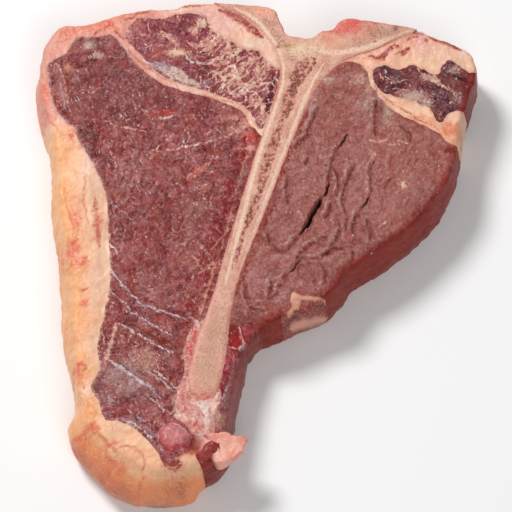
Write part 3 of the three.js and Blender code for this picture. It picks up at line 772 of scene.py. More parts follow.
def chine_marks(points, edge):
    x, y = points[:, 0], points[:, 1]
    veins = np.maximum(0.85*broken(points, 42, *CHINE_VEINS), broken(points, 53,
        *[(1.3*width, *path) for width, *path in CHINE_FINGERS]))
    bent = wander(points, 0.6, 2.4, 54)
    gap = np.where(0.6*x + y > 67, bundles(bent, 56, 9, 3.0, 43), bundles(bent, 34, 6.5, 3.0, 44))
    webbed = patch(points, ((-7, 68), (12, 9), 1.0), ((2, 58), (7, 9), 1.0), ((-6, 79), (9, 6), 0.6),
        ((-16, 81), (8, 7), 0.3))
    width = 0.08 + 0.5*webbed*np.clip(0.75 + rough(points, 2.6, 45, 2), 0.05, 1.6)
    web = np.clip(1.6*(1 - gap/width), 0, 1)*np.clip(webbed*4, 0, 1)
    zone = patch(points, ((-8, 88), (13, 8), 1.0), ((6, 77), (4.5, 7), 1.0))
    angle = math.radians(56)
    turned = np.column_stack([(x*math.cos(angle) + y*math.sin(angle))/9,
        (y*math.cos(angle) - x*math.sin(angle))/1.5, 0*x])
    reach = zone*(0.6 + 5.5*np.clip(noise(turned, 1, 55), 0, 1))
    fringe = np.clip(1.5*(1.2 - edge/np.maximum(reach, 0.05)), 0, 1)
    islands = patch(wander(points, 0.7, 1.8, 46), *CHINE_ISLANDS)
    loose = 0.5*vein_net(points, 6, 0.05, 47)
    white = broken(points, 56, *CHINE_WHITE)
    sheet = stroke(wander(points, 0.9, 3, 57), *CHINE_SHEET)
    return np.maximum.reduce([veins, web, loose, islands, fringe]), sheet, white


def chine_relief(points, edge, rim):
    veins, sheet, white = chine_marks(points, edge)
    return 0.3*rough(points, 3.4, 48) + 0.16*rough(points, 1.1, 49) + 0.2*veins + 0.3*sheet + 0.3*white


def chine_paint(points, edge, rim):
    veins, sheet, white = chine_marks(points, edge)
    moved = wander(points, 2, 4, 51)
    marks = Tint(points)
    upper_left = patch(moved, ((-54, 91), (6, 8), 0.9), ((-48, 96), (5, 3), 0.8))
    marks.brush("C9837A", mottled(points, upper_left, 2.2, 58, 0.9))
    marks.dab("A34741", moved, (1.6, 59), ((-46, 95), (3, 2), 0.9), ((-53, 94), (4, 1.4), 0.7),
        ((-39, 79), (5, 1.6), 0.8))
    marks.brush("D6B6A8", mottled(points, 0.95*sheet, 2.0, 52, 0.8))
    marks.dab("A98B95", moved, (1.6, 50), ((-39, 73.5), (4.4, 1.8), 0.9), ((-20, 65), (3, 1.6), 0.6))
    marks.brush("E3BE9C", patch(wander(points, 0.7, 1.6, 39), ((-31.4, 78.8), (3.6, 1.5), 1.0),
        ((-36, 86.6), (3, 1), 0.5)))
    marks.brush("541424", 0.9*stroke(moved, (4, (8, 71), (6.6, 63), (4, 55), (0.6, 46)))*(veins < 0.5))
    marks.brush("E9D3CB", white)
    return marks.painted(
        marbling=np.clip(veins*(1 - 0.5*sheet), 0, 1),
        film_and_sheen=patch(moved, ((-44, 84), (9, 8), 0.5), ((-38, 92), (8, 4), 0.35), ((-22, 79), (5, 4), 0.2),
            ((-4, 69), (12, 10), 0.8), ((-14, 84), (8, 6), 0.5)),
        stain=patch(moved, ((-50, 91), (3, 6), 0.5), ((-2.5, 68.5), (1, 2), 0.6), ((-34, 93), (3, 4), 0.3),
            ((6, 60), (2, 6), 0.4)),
        sinew_and_sheen=0.25*sheet,
        dark_and_shade=patch(moved, ((-21, 70), (6, 4.6), 0.5), ((-29, 90.5), (6, 5), 0.35),
            ((-27, 76), (4, 1.6), 0.45), ((-21, 79), (4, 4), 0.25),
                   ((4.6, 63), (3, 5), 0.35), ((-46, 83), (4, 2), 0.3)),
        side=flank(points, rim),
    )


chine = cut_out("chine_muscle", chine_loop, chine_relief, chine_paint, fine=0.38)
chine_skin = lean_finish("marbled_lean", "6E1824", "8C2E3C", "BC7A80", 2.6, 0.45, 0.3, top_film_and_sheen=0.3)
place_piece(chine, "strip_lean", chine_skin, "multifidus")


# THE STRIP LOIN
# The long back muscle. Its fibres end on the cut face as fine dark grains under a greyish film that is partly
# painted wet sheen, with thin marbling, and the knife has dragged ridges across its lower end, painted with
# highlights along their tops and shade in the cuts between.
LOIN = [
    (-57.5, 87), (-50.3, 78.6), (-46, 72.8), (-41, 68.3), (-35, 64.6), (-20, 60), (-11.5, 56.8), (-5.5, 53.6),
    (-2.6, 48.5), (3, 40), (-9, -2), (-18, -32), (-23.5, -36), (-27.8, -47.5), (-27, -53), (-30.3, -66),
    (-30.5, -72), (-34, -76), (-37.2, -80.5), (-35.5, -85), (-31.5, -88.8), (-28.3, -90.4), (-31.5, -92.2),
    (-34.4, -91), (-37, -86.5), (-45, -78), (-50.5, -75), (-56.5, -74), (-59.3, -66.5), (-62.2, -61),
    (-59.2, -53.5), (-60.2, -46), (-58, -32), (-55.8, -17), (-57, 0), (-58.3, 17), (-63.2, 30), (-69.6, 41),
    (-71.2, 46), (-75.5, 49.5), (-79.8, 56.5), (-82, 68), (-82, 75.3), (-75.5, 79), (-71.5, 86), (-65, 86.3),
]
LOIN_VEINS = [
    (0.9, (-72, 61.5), (-68, 62.6), (-65, 61.3), (-62, 63.2)), (0.6, (-66, 61), (-65, 57.5), (-64.5, 55)),
    (1.1, (-60.5, 49.8), (-56.5, 48), (-53, 46.4), (-49, 46.6), (-45.5, 45.6), (-42, 44.8)),
    (0.7, (-56, 48), (-54.5, 44.5), (-54, 42)), (0.9, (-45.5, 55.5), (-43, 52.5), (-41, 49.5)),
    (1.0, (-40.5, 51), (-36.5, 50.8), (-33, 51.2), (-31, 52.4)),
    (1.0, (-39.5, 37), (-36.5, 40), (-33.5, 43.2), (-31, 46)),
    (1.1, (-39, 36.4), (-33, 37), (-28.5, 38.6), (-24, 39), (-19, 40.2), (-14.5, 41.6), (-10.5, 43.5)),
    (0.9, (-21, 42.6), (-17.5, 45.4), (-14.5, 47.4)), (0.7, (-28, 38.5), (-26.5, 41.5), (-26.5, 44)),
    (2.2, (-11, 43.4), (-7.5, 45.4), (-4.5, 46.8), (-1.5, 47)), (1.3, (-7, 36.2), (-3.5, 37.4), (0, 37.4)),
    (1.7, (-27.5, 24), (-24.5, 27.3), (-20.5, 29.8), (-17.5, 31.2)),
    (0.9, (-26.5, 25), (-21, 27.8), (-16, 27.4)), (1.3, (-10.8, 14.6), (-7, 15.8), (-3.5, 16.2)),
    (0.8, (-22.5, 19.5), (-20, 22), (-17.5, 22.5)),
    (1.0, (-23.5, -1), (-20.5, -4.5), (-18.3, -8), (-17, -11.5)),
    (0.9, (-25.5, -7.5), (-21.5, -9.8), (-18, -12.2), (-15.8, -16)),
    (0.8, (-24.5, -13.6), (-20.5, -13), (-17.5, -13.8)), (1.0, (-23.5, -20.5), (-20, -23.3), (-17.2, -27)),
    (0.8, (-25, -12), (-24.2, -16.5), (-25, -20)), (0.9, (-27.5, -23), (-23, -27), (-19.8, -30.5)),
    (0.8, (-21.5, -3), (-18, -3.5), (-15, -6)), (0.7, (-37, -12.5), (-35.8, -16), (-34.5, -20)),
    (0.6, (-48, -12), (-47.5, -16), (-46, -19)), (0.6, (-43, -12.5), (-42, -18)),
    (0.6, (-30, 5), (-27, 3), (-25.5, 0)), (0.7, (-59.5, 41), (-57, 36.5), (-54, 33)),
    (0.6, (-62, 46), (-60.5, 44)), (0.6, (-64, 50.5), (-62.5, 47)), (0.6, (-52, 41), (-48.5, 39.5)),
    (0.5, (-58, 35), (-54.5, 30), (-52, 27)), (0.5, (-47, 30), (-46, 25)), (0.6, (-37.5, 20), (-36, 16)),
    (0.6, (-17, 8), (-13.5, 10)), (0.7, (-22, 5), (-18, 2.5), (-14, 1)),
    (1.3, (-78, 76.5), (-76.8, 71), (-75.2, 63), (-73.8, 56), (-72.6, 51)), (0.5, (-47.5, 66), (-45, 63)),
    (2.2, (-53.2, -35.5), (-54.2, -41), (-55.6, -46), (-57, -51), (-57.4, -55)),
    (1.5, (-45, -47.5), (-42.5, -50.5), (-38, -51.5)), (0.9, (-43.5, -46.5), (-38.5, -47.2), (-35, -49.5)),
    (1.0, (-48, -39.5), (-45, -44), (-47, -48.5)), (0.9, (-36, -53), (-33.5, -56), (-33, -60)),
    (1.2, (-35, -71), (-31.5, -71.5), (-29.5, -69)), (0.8, (-60, -38), (-57.5, -41.5), (-57.5, -45)),
]
LOIN_ISLANDS = [
    ((-66.5, 82.3), (2.4, 1.9), 1.15), ((-62.8, 78), (2.3, 1.4), 1.1), ((-74.6, 72.6), (1.6, 1.9), 0.9),
    ((-78.6, 72.5), (1.3, 2.4), 0.5), ((-76.8, 60), (1.0, 5.5), 0.5), ((-57, 79), (1.2, 1), 0.3),
    ((-43, -48.8), (3.6, 2.2), 0.5), ((-56, -58), (3.5, 3), 0.35), ((-28.6, -66), (1.6, 3), 0.6),
]
KNIFE_RIDGES = [
    (1.7, (-53.5, -35.2), (-47, -38.2), (-41, -42.4), (-35, -46), (-30.5, -48.2)),
    (2.3, (-57.5, -49.8), (-52, -52.6), (-46, -57), (-41, -60.3), (-36, -65.6)),
    (1.7, (-42, -54.4), (-36.5, -58), (-31, -63)),
    (1.6, (-46, -26.6), (-38.5, -29.4), (-31, -32.2), (-26, -34.2)),
    (1.3, (-51, -29.6), (-45, -32.4), (-38, -37), (-31, -41.4)),
    (1.5, (-56.2, -13), (-53.2, -17), (-50, -20.8), (-46.6, -24.6), (-43.5, -28)),
    (1.3, (-48.5, -70), (-44, -73.4), (-40, -76)),
    (1.2, (-52, -73.5), (-46, -75.6), (-41, -79.4), (-37.4, -84)),
    (1.4, (-41, -64), (-37.5, -67), (-34, -71.5)), (1.2, (-55.5, -23), (-50.5, -26.5), (-46.5, -31)),
]
KNIFE_CUTS = [
    (1.1, (-52, -34.6), (-45, -36.8), (-38, -41.2), (-30.5, -46.4)),
    (1.2, (-52.5, -50.2), (-47, -55.2), (-43, -58.4), (-39, -61.8), (-34.5, -66.6)),
    (0.9, (-45, -54.6), (-41.5, -56.8)), (0.8, (-50, -28), (-43, -31), (-37, -35)),
    (1.0, (-46.5, -71.6), (-42.5, -74.8), (-38.5, -78)), (0.9, (-38, -67.8), (-34, -72.5)),
    (1.3, (-72.5, 73.6), (-69.5, 74.4), (-66.5, 75.2), (-62.5, 76.2)),
    (1.0, (-77, 76), (-76.2, 72.5), (-74.6, 69.6), (-72.6, 71.6)), (0.8, (-34.8, 19.5), (-34.6, 15.5)),
    (1.0, (-53, 8), (-51, 3), (-52.5, -1)),
]
# Silver skin, with painted lilac and white highlights along ridges among it.
SILVER_SKIN_AND_SHEEN = [
    (2.2, (-30.3, -8.4), (-28.6, -4.6), (-26.4, -1), (-23.8, 1.6), (-21, 2.6)),
    (2.4, (-58, 18), (-55.5, 14.2), (-52, 11), (-49.5, 9.4)), (1.8, (-50, 9.5), (-47.8, 7.2), (-45.6, 5.6)),
    (1.9, (-56.8, -2), (-54.6, -4.6), (-52.2, -7)), (1.3, (-55, 5.5), (-54.5, 2), (-53.6, 0)),
    (1.6, (-56.4, -11.5), (-54.6, -15), (-52, -18.6)), (1.4, (-28.5, 27.2), (-27.5, 24.5)),
    (1.4, (-26, 36.5), (-24.6, 33), (-23, 30.5)), (1.2, (-38.5, 19.5), (-37, 16.5), (-37.5, 13)),
    (1.2, (-49.5, 17.5), (-46.5, 17)), (1.2, (-17, 5), (-14.5, 2), (-12, 0)),
    (1.6, (-19.5, -5), (-17, -9), (-15.5, -12)), (1.6, (-25.5, -32.6), (-22.2, -35.6), (-20.2, -40)),
    (1.0, (-20, 34), (-17, 33)), (1.2, (-55.5, 27.5), (-54, 23.5)),
    (2.4, (-77.6, 66), (-76.4, 60), (-75, 54.5)), (1.8, (-79.4, 75), (-78.6, 71)),
    (1.4, (-47.5, 44.6), (-44.5, 43.2)), (1.2, (-45.5, 55.5), (-43.5, 53)), (1.0, (-60, 78), (-55, 77)),
]
loin_loop = ragged(smooth_loop(LOIN, SEAM_STEP), 0.45, 3, 61)


def crests(points, size, seed):
    """Thin swirling ridges, 1 along their tops, as the bundles of lean stand up on a cut face."""
    swirled = wander(points, 0.5*size, 1.2*size, seed)
    return np.clip(1 - 3.2*np.abs(rough(swirled, size, seed + 1, 2)), 0, 1)


def loin_marks(points):
    veins = np.maximum(broken(points, 62, *LOIN_VEINS), patch(wander(points, 0.9, 1.8, 63), *LOIN_ISLANDS))
    ridges = broken(points, 64, *KNIFE_RIDGES)
    cuts = stroke(wander(points, 0.45, 4, 64), *KNIFE_CUTS)
    by_bone = patch(points, ((-20, -14), (7, 14), 1.0), ((-8, 30), (6, 16), 0.5), ((-14, 8), (6, 12), 0.6))
    net = vein_net(wander(points, 1.2, 2.4, 65), 4.6, 0.12, 66)*by_bone
    loose = 0.4*vein_net(points, 5.2, 0.06, 67)*np.clip(noise(points, 9, 68)*2 + 0.4, 0, 1)
    return np.maximum.reduce([veins, net*0.7, loose]), ridges, cuts


def loin_relief(points, edge, rim):
    veins, ridges, cuts = loin_marks(points)
    lower = 1/(1 + np.exp((points[:, 1] + 25)/6))
    turned = np.column_stack([points[:, 0]*0.84 - points[:, 1]*0.54, points[:, 0]*0.54 + points[:, 1]*0.84,
        points[:, 2]])
    drag = noise(turned*np.array([0.22, 1, 1]), 2.2, 71)
    fold = stroke(wander(points, 0.5, 3, 75), (3.2, (-78.4, 76), (-77.4, 70), (-76.2, 62), (-74.8, 54)))
    slit = stroke(wander(points, 0.3, 3, 76), (1.6, (-72, 72.4), (-67, 74), (-62, 76.4)),
        (1.2, (-74.4, 69.6), (-73.6, 62)))
    height = 0.5*rough(points, 4.5, 69) + 0.2*rough(points, 1.2, 70) + 0.7*drag*lower + 0.45*crests(points, 5,
        90)
    return height + 0.15*veins + 0.75*ridges - 0.7*cuts + 0.3*stroke(points,
        *SILVER_SKIN_AND_SHEEN) + 0.7*fold - 0.6*slit


def loin_paint(points, edge, rim):
    veins, ridges, cuts = loin_marks(points)
    moved = wander(points, 2.5, 5, 72)
    near = wander(points, 0.9, 2.2, 77)
    silver_and_sheen = np.maximum(0.8*ridges, broken(points, 73, *SILVER_SKIN_AND_SHEEN))
    tail_skin = stroke(moved, (6, (-52, -73), (-45, -75.5), (-39, -80.5), (-34.5, -88.5)))
    marks = Tint(points)
    marks.brush("A8827F", mottled(moved, patch(moved, ((-50, -58), (9, 7), 0.9), ((-56, -66), (4, 3), 0.6),
        ((-43, -62), (5, 4), 0.4)), 2.6, 78, 1.0))
    marks.dab("7C3A3C", moved, (2, 79), ((-47, -65.5), (4, 3), 0.8), ((-60.5, -60.5), (2.6, 4), 0.7))
    marks.dab("BE8A7B", moved, (1.8, 80, 1.0), ((-43, -49.5), (6, 4), 0.85), ((-30, -66), (2, 4), 0.8),
        ((-24, 12), (5, 7), 0.35), ((-27, -7), (5, 7), 0.2))
    marks.brush("D4A594", 0.8*broken(points, 84, (2.6, (-53.4, -35.4), (-54.2, -41), (-55.8, -46),
        (-56.6, -50))))
    marks.dab("DE9A8C", near, (1.3, 85, 0.5), ((-3, 48.5), (3.4, 2.2), 0.9), ((-6.5, 45), (4.4, 2.4), 0.8),
        ((-3, 37.4), (4, 1.3), 0.95), ((-9, 51), (3, 1.4), 0.6))
    marks.dab("C9473F", near, (1.5, 86, 0.4), ((-2.4, 42.2), (2.4, 2.2), 1.0), ((-37, 53.2), (4.6, 1.3), 0.9),
        ((-23.4, -39.6), (1.6, 4), 0.9), ((-25.4, -45.5), (1.6, 3.2), 0.8))
    marks.brush("C4695A", mottled(points, 0.9*stroke(near, (3.6, (-27, 24.4), (-22, 28.4), (-18.4, 31))), 1.2,
        87, 0.6))
    # White lines: sinew, and painted highlights along ridge tops.
    marks.brush("E6CFCB", broken(points, 88, (1.2, (-39.6, 51.4), (-36, 51.2), (-32.6, 51.6)),
        (1.2, (-44.6, 54.6), (-42.4, 52.6)), (1.6, (-25.4, -32.4), (-22.4, -35), (-20.6, -39)),
        (1.2, (-38.8, -54.4), (-34, -58), (-30, -61.6)), (1.0, (-57.6, -2.2), (-55, -4.4), (-52.8, -7)),
        (0.9, (-56, -13), (-54, -17))))
    # Painted highlights along the knife ridges.
    marks.brush("E9DBDF", 0.75*broken(points, 92, *[(0.8*width, *path) for width, *path in KNIFE_RIDGES]))
    # Painted shade in the slit and the small cut by the fold.
    marks.brush("7E1F1B", 0.9*stroke(wander(points, 0.3, 3, 76), (1.5, (-71.6, 72.4), (-67, 74), (-62, 76.4)),
        (1.2, (-79, 75.6), (-77, 73.4))))
    marks.brush("C9846C", patch(near, ((-74.8, 71.8), (2, 1.9), 0.9)))
    marks.dab("BC9C92", near, (1.2, 89, 0.5), ((-66.6, 82.2), (2.4, 2), 1.0), ((-62.6, 78), (2.4, 1.3), 1.0))
    film_and_sheen = patch(
        moved, ((-48, 26), (9, 10), 0.95), ((-50, 62), (18, 15), 0.5), ((-38, 42), (12, 6), 0.4),
        ((-36, 28), (6, 8), 0.5),
        ((-45, 14), (8, 7), 0.7), ((-40, -22), (10, 9), 0.7), ((-12, 50), (8, 5), 0.6),
        ((-20, 44), (7, 6), 0.35), ((-52, -5), (3, 16), 0.5),
        ((-38, -70), (8, 6), 0.5), ((-24, 20), (5, 10), 0.3), ((-33, 10), (10, 9), 0.25),
    )
    dark_and_shade = patch(
        moved, ((-66, 44), (4.4, 7), 0.42), ((-63, 36), (3, 5), 0.35), ((-36, 58.5), (7, 4), 0.32),
        ((-60, 82), (3, 4), 0.3), ((-6, 24), (3.4, 13), 0.42),
        ((-13, 2), (3, 14), 0.34), ((-36, 12), (2.4, 8), 0.3), ((-71, 60), (3, 8), 0.3),
        ((-50, -43), (3.5, 5), 0.25), ((-19, -24), (3, 6), 0.2),
        ((-33, -56), (3, 4), 0.3), ((-12, 38), (3, 3), 0.35), ((-52, -12), (2.4, 8), 0.2),
    )
    stain = patch(
        moved, ((-63, 50), (6, 12), 0.85), ((-26, 34), (12, 8), 0.35), ((-28, -51), (2.4, 4), 0.7),
        ((-4, 33), (3, 5), 0.5), ((-20, -17), (4, 8), 0.45), ((-31, -57), (3, 4), 0.5),
        ((-49, -41), (4, 5), 0.4), ((-64, 40), (6, 7), 0.45), ((-71, 84), (2, 3), 0.5),
        ((-28, 6), (12, 14), 0.4), ((-45, -10), (10, 12), 0.35),
        ((-62, -58), (3, 4), 0.3), ((-10, 15), (5, 16), 0.4), ((-34, -30), (9, 8), 0.3),
        ((-38, 56), (7, 4), 0.5), ((-15, 40), (8, 5), 0.35),
    )
    marks.brush("86131C", mottled(points, 0.6*stroke(moved, (9, (-3, 45), (-7, 30), (-11, 15), (-14.6, 2),
        (-18, -10), (-22, -24), (-26, -36))), 1.8, 96, 1.3))
    marks.brush("D78F7A", broken(points, 97, (1.3, (-3, 36), (-5.6, 27), (-8, 17)),
        (1.2, (-9, 13), (-11.4, 3), (-14, -6)), (1.6, (-15, -9), (-18.4, -21), (-21.6, -32)),
        (1.1, (-9, 4), (-13.6, 0), (-17, -5)), (1.1, (-13, -10), (-19, -12), (-22, -16)),
        (1.0, (-16, -19), (-21, -20), (-25, -24))))
    # The crest tops get more film and painted sheen, and less red stain: painted light on the ridges.
    top = crests(points, 5, 90)
    marks.brush("6E3436", mottled(points, 0.5*patch(moved, ((-52, 64), (22, 18), 1.0),
        ((-66, 42), (6, 9), 0.9), ((-14, 46), (10, 5), 0.6)), 3, 98, 0.8))
    marks.brush("7A2C28", mottled(points, 0.4*patch(moved, ((-32, 8), (16, 18), 1.0),
        ((-38, -16), (12, 12), 0.9)), 3, 99, 0.8))
    marks.brush("D9AC9C", mottled(points, 0.5*np.exp(-(edge/0.7)**2)*(points[:, 0] < -44)*(points[:, 2] > 22),
        2, 91, 1.2))
    # The dark value also gets painted shade in the knife cuts.
    return marks.painted(
        marbling=0.85*veins, film_and_sheen=np.clip(film_and_sheen + 0.5*top*(0.4 + film_and_sheen), 0, 1), stain=stain*(1 - 0.6*top),
        sinew_and_sheen=np.clip(silver_and_sheen + 0.8*tail_skin*np.clip(0.6 + rough(points, 2, 74), 0, 1), 0, 1)
        + 0.6*stroke(near, (3, (-78.4, 76), (-77.4, 70), (-76.2, 62), (-74.8, 54))),
        dark_and_shade=np.clip(dark_and_shade + 0.55*cuts, 0, 1),
        side=flank(points, rim),
    )


loin = cut_out("strip_loin_lean", loin_loop, loin_relief, loin_paint, coarse=1.8)
loin_skin = lean_finish("strip_lean", "701C20", "943C3A", "BC8886", 4.2, 0.4, 0.3, top_film_and_sheen=0.2, sparkle=0.55)
place_piece(loin, "strip_lean", loin_skin, "strip_loin")


# THE SIDE MUSCLE
# A small muscle over the tenderloin, in the corner. Its face is dull purple with patches of tan fat smeared
# on it, and its outer edge, where it was peeled, is dark and wet.
SIDE = [
    (46.3, 67.5), (47.3, 72), (51, 73.3), (56.5, 71.5), (62.5, 73.4), (71, 69.3), (76.5, 75.7), (84, 70.6),
    (93, 69), (92, 58), (84, 53.5), (76, 53), (73.4, 48.6), (70.8, 49.4), (68.5, 54.5), (62.5, 57.5),
    (49.5, 62.2),
]
SIDE_VEINS = [
    (1.3, (62.5, 73), (66.5, 69.5), (71.5, 66), (76, 62.8), (80, 60)),
    (1.5, (66.5, 69), (69.5, 67.4), (72.5, 65)), (0.8, (49, 70.5), (50.5, 67)), (0.8, (55, 65.5), (59, 67)),
    (0.7, (74, 56), (78, 57.5)), (0.8, (52.5, 63.5), (56.5, 62.5), (60, 63)), (0.6, (75.5, 72), (78.5, 69.5)),
]
SIDE_ISLANDS = [
    ((62, 59.6), (5.5, 2.4), 1.1), ((67, 57.5), (3, 2), 0.8), ((68.5, 67.8), (3.4, 1.5), 0.9),
    ((79.5, 72.2), (2.4, 1.7), 0.6), ((57, 62), (2.4, 1.2), 0.6), ((72, 51.5), (1.4, 2.2), 0.35),
]
side_loop = ragged(smooth_loop(SIDE, SEAM_STEP), 0.6, 3, 81)


def side_marks(points):
    return np.maximum(broken(points, 82, *SIDE_VEINS), patch(wander(points, 1.3, 2, 83), *SIDE_ISLANDS))


def side_relief(points, edge, rim):
    fold = stroke(wander(points, 0.6, 3, 84), (1.6, (77.5, 69.2), (82, 67.6), (86, 65.6)),
        (1.3, (75, 54.6), (81, 53.2), (86, 52.2)))
    return 0.35*rough(points, 3.2, 85) + 0.18*rough(points, 1.0, 86) + 0.2*side_marks(points) - 1.1*fold


def side_paint(points, edge, rim):
    moved = wander(points, 1.6, 3, 87)
    near = wander(points, 0.9, 2, 88)
    marks = Tint(points)
    marks.dab("B9998C", near, (1.5, 89, 0.6), ((62, 59.6), (5.4, 2.8), 1.0), ((67.4, 56), (2.6, 2.6), 0.8),
        ((64, 53.5), (3, 2), 0.6))
    marks.dab("B8958A", near, (1.4, 98, 0.7), ((67.6, 68.2), (2.8, 1.4), 0.9), ((78, 71.6), (3, 2), 0.7),
        ((79, 58.5), (3, 2.4), 0.5), ((54, 67.5), (3, 2), 0.4))
    marks.dab("7A2B26", near, (2, 99, 0.4), ((83.6, 63), (2.4, 7), 1.0), ((86, 58), (3, 5), 0.7))
    # Painted shade: near-black in the two folds.
    marks.brush("4A1012", np.maximum(0.95*stroke(near, (2.4, (77.6, 69.2), (82, 67.6), (85.4, 65.6))),
        0.85*stroke(near, (2.2, (75, 54.6), (78, 53), (82, 53.2)))))
    marks.brush("D0A596", broken(points, 97, (1.2, (69.6, 70.4), (71.4, 66.8), (74.6, 65)),
        (0.8, (74.6, 65), (79, 61))))
    return marks.painted(
        marbling=side_marks(points),
        film_and_sheen=patch(moved, ((62, 66), (14, 6), 0.4), ((78, 62), (7, 8), 0.5), ((77, 71), (5, 4), 0.5)),
        stain=patch(moved, ((84.5, 62), (3, 8), 0.6), ((51, 66), (4, 6), 0.45)),
        sinew_and_sheen=0.5*patch(moved, ((72, 61), (9, 6), 0.8), ((62, 69), (8, 4), 0.5), ((77, 72), (4, 3), 0.6)),
        dark_and_shade=patch(moved, ((54, 63), (5, 2.4), 0.35), ((70, 57), (3, 4), 0.35), ((72, 50), (1.6, 3), 0.4),
            ((50, 70), (2, 4), 0.2), ((66, 70.6), (4, 1.6), 0.3)),
        side=flank(points, rim, 3),
    )


side = cut_out("side_muscle_lean", side_loop, side_relief, side_paint)
side_skin = lean_finish("side_lean", "42101A", "5C1E28", "A07078", 2.6, 0.4, side="6A1416", top_film_and_sheen=0.25)
place_piece(side, "strip_lean", side_skin, "side_muscle")


# THE TENDERLOIN
# The soft inner muscle: brownish mauve, with a close grain and hardly any fat. It has parted along its
# bundles in a few splits darkened with painted shade, fine creases run out from them with painted shade in
# them and painted light beside, and its outer side is smooth dark red, painted darker towards the bottom.
TENDER = [
    (36.5, 75.3), (41, 74.3), (44, 70.5), (45, 65.5), (52.5, 55), (58, 51.2), (71.5, 44), (76, 39.5),
    (83, 37), (84, 22), (62, -4), (44, -16), (33.5, -24.3), (28, -25.5), (20.5, -24.3), (15, -22.2),
    (12.8, -26), (9.5, -31), (9, -40), (1, -42), (-1.5, -33.5), (-6, -35), (-13, -34), (-6, -10), (6, 22),
    (20, 58), (28, 72),
]
SPLITS = [  # width, depth, then the line
    (2.3, 6, (25.4, 16.5), (24, 13), (21.6, 9), (19.6, 4.5), (17, 0.8)),
    (1.1, 2.6, (28.3, 21.5), (27.6, 19), (26.4, 16.8)),
    (1.1, 2.4, (36, 43.2), (34.2, 40.4), (32.8, 38)),
    (1.0, 1.6, (44.6, 18.2), (43, 14.2), (40, 10)),
    (0.9, 1.6, (17.5, -9), (15.2, -12.6), (12.4, -15.6)),
]
CREASES = [
    (0.9, (32.8, 38), (31, 34.5), (29.8, 31), (28.8, 26), (28.3, 21.5)),
    (0.8, (17, 0.8), (14.5, -2.2), (12.5, -5)), (0.9, (22, -3), (18.5, -6), (16, -9.4)),
    (0.8, (12.4, -15.6), (10.4, -18)),
    (0.9, (20.5, -9), (24.5, -9.6), (26.6, -7.4), (30, -5.4), (33.5, -5.2)), (0.8, (17.5, -9), (20.5, -9)),
    (0.8, (4.5, 1), (6, -3), (8.5, -5.6), (11.5, -6.6)), (0.7, (38.4, 29.6), (36.6, 25.5), (34.4, 20.5)),
    (0.8, (34.6, 20.5), (33.6, 15), (34.4, 11.5), (35.2, 7), (34.6, 2.5)), (0.8, (44.8, 24), (44.8, 18.2)),
    (0.8, (33.2, 2.8), (31, -1.5), (28.5, -5.8)), (0.8, (46, 31), (44.5, 27), (44.8, 24)),
    (0.7, (29, 13.5), (28, 9), (26.4, 7)), (0.7, (40, 10), (38.4, 6), (37.4, 1)),
    (0.7, (12.5, 24), (12, 18), (12.5, 13)), (0.7, (30.5, 28), (32.5, 22), (31.5, 17)),
    (1.4, (47.6, 58), (47.3, 51), (46.9, 43)), (1.0, (49.8, 57.5), (49.4, 51)),
    (0.7, (43, 7), (44.5, 1), (44, -4)), (0.8, (5.8, -18), (6, -22), (4.4, -25)),
    (0.8, (9.5, -20), (8, -24), (4, -26)), (0.8, (-3.6, -20), (-4, -25), (-2, -29), (3, -30.5)),
    (0.7, (24, -10.5), (26.8, -14), (26.8, -19)), (0.7, (20.5, 33), (19.5, 30)), (0.7, (22.5, 7), (20, 2)),
    (0.7, (27.4, 0), (24.4, -2.6), (21.6, -3)), (0.7, (37.6, -6), (37, -11), (38.4, -14)),
    (0.6, (52, 24), (50, 20)), (0.8, (24.6, 55), (22.6, 50), (20.2, 44)),
    (0.7, (56, 47), (60, 43), (60.5, 40)), (0.8, (21, 43), (17.5, 40.5), (15.5, 37)),
]
TENDER_FAT = [
    (1.5, (44.6, 40.5), (47.5, 40), (50, 40.4), (52.5, 41.4)), (1.0, (49.5, 40), (52, 38.6), (55.5, 38.8)),
    (0.9, (55.5, 40.6), (59, 38.6), (62, 36.4)), (0.8, (36.5, 66), (39.5, 68.5), (42.5, 69.5)),
    (0.8, (36.5, 66), (35, 63)), (0.6, (48, 44.5), (51, 44)), (0.6, (15.5, 52), (17.5, 49)),
]
TENDER_ISLANDS = [
    ((57.2, 21), (1.5, 1.9), 1.3), ((60, 18.4), (0.7, 0.6), 1.0), ((49.7, 5), (0.7, 0.7), 1.0),
    ((46.4, 34), (1.6, 1.3), 0.65), ((56.8, 27.5), (0.8, 1.2), 0.75), ((66.4, 22), (1.3, 0.9), 0.6),
    ((77, 33), (0.8, 1.4), 0.9), ((67.6, 12.4), (0.45, 0.5), 0.9), ((62.3, 2.3), (0.4, 0.4), 0.9),
    ((29, 67.4), (2, 0.9), 0.6), ((37.4, -4), (0.6, 0.6), 0.6), ((44.5, -2.4), (1.1, 0.4), 0.6),
]
tender_loop = ragged(smooth_loop(TENDER, SEAM_STEP), 0.4, 3.5, 101)


def tender_marks(points):
    bent = wander(points, 0.45, 2.6, 102)
    opening = np.zeros(len(points))
    inside = np.zeros(len(points))
    for width, depth, *path in SPLITS:
        mark = stroke(bent, (width, *path))
        opening = np.maximum(opening, depth*mark**0.7)
        inside = np.maximum(inside, mark)
    creases = stroke(wander(points, 0.6, 3, 103), *[(1.8*width, *path) for width,
        *path in CREASES])*np.clip(0.9 + 0.7*rough(points, 4, 100, 2), 0.3, 1)
    specks = vein_net(wander(points, 1, 1.6, 104), 3.4, 0.06, 105)*patch(points, ((70, 30), (9, 13), 0.6),
        ((62, 40), (9, 6), 0.4))
    fat = np.maximum.reduce([broken(points, 106, *TENDER_FAT),
        patch(wander(points, 0.7, 1.3, 107), *TENDER_ISLANDS), specks])
    return opening, inside, creases, fat


def valleys(points, spread):
    """Wide soft hollows along the creases, between the tenderloin's pads."""
    return stroke(wander(points, 0.6, 3, 103), *[(spread*width, *path) for width, *path in CREASES])


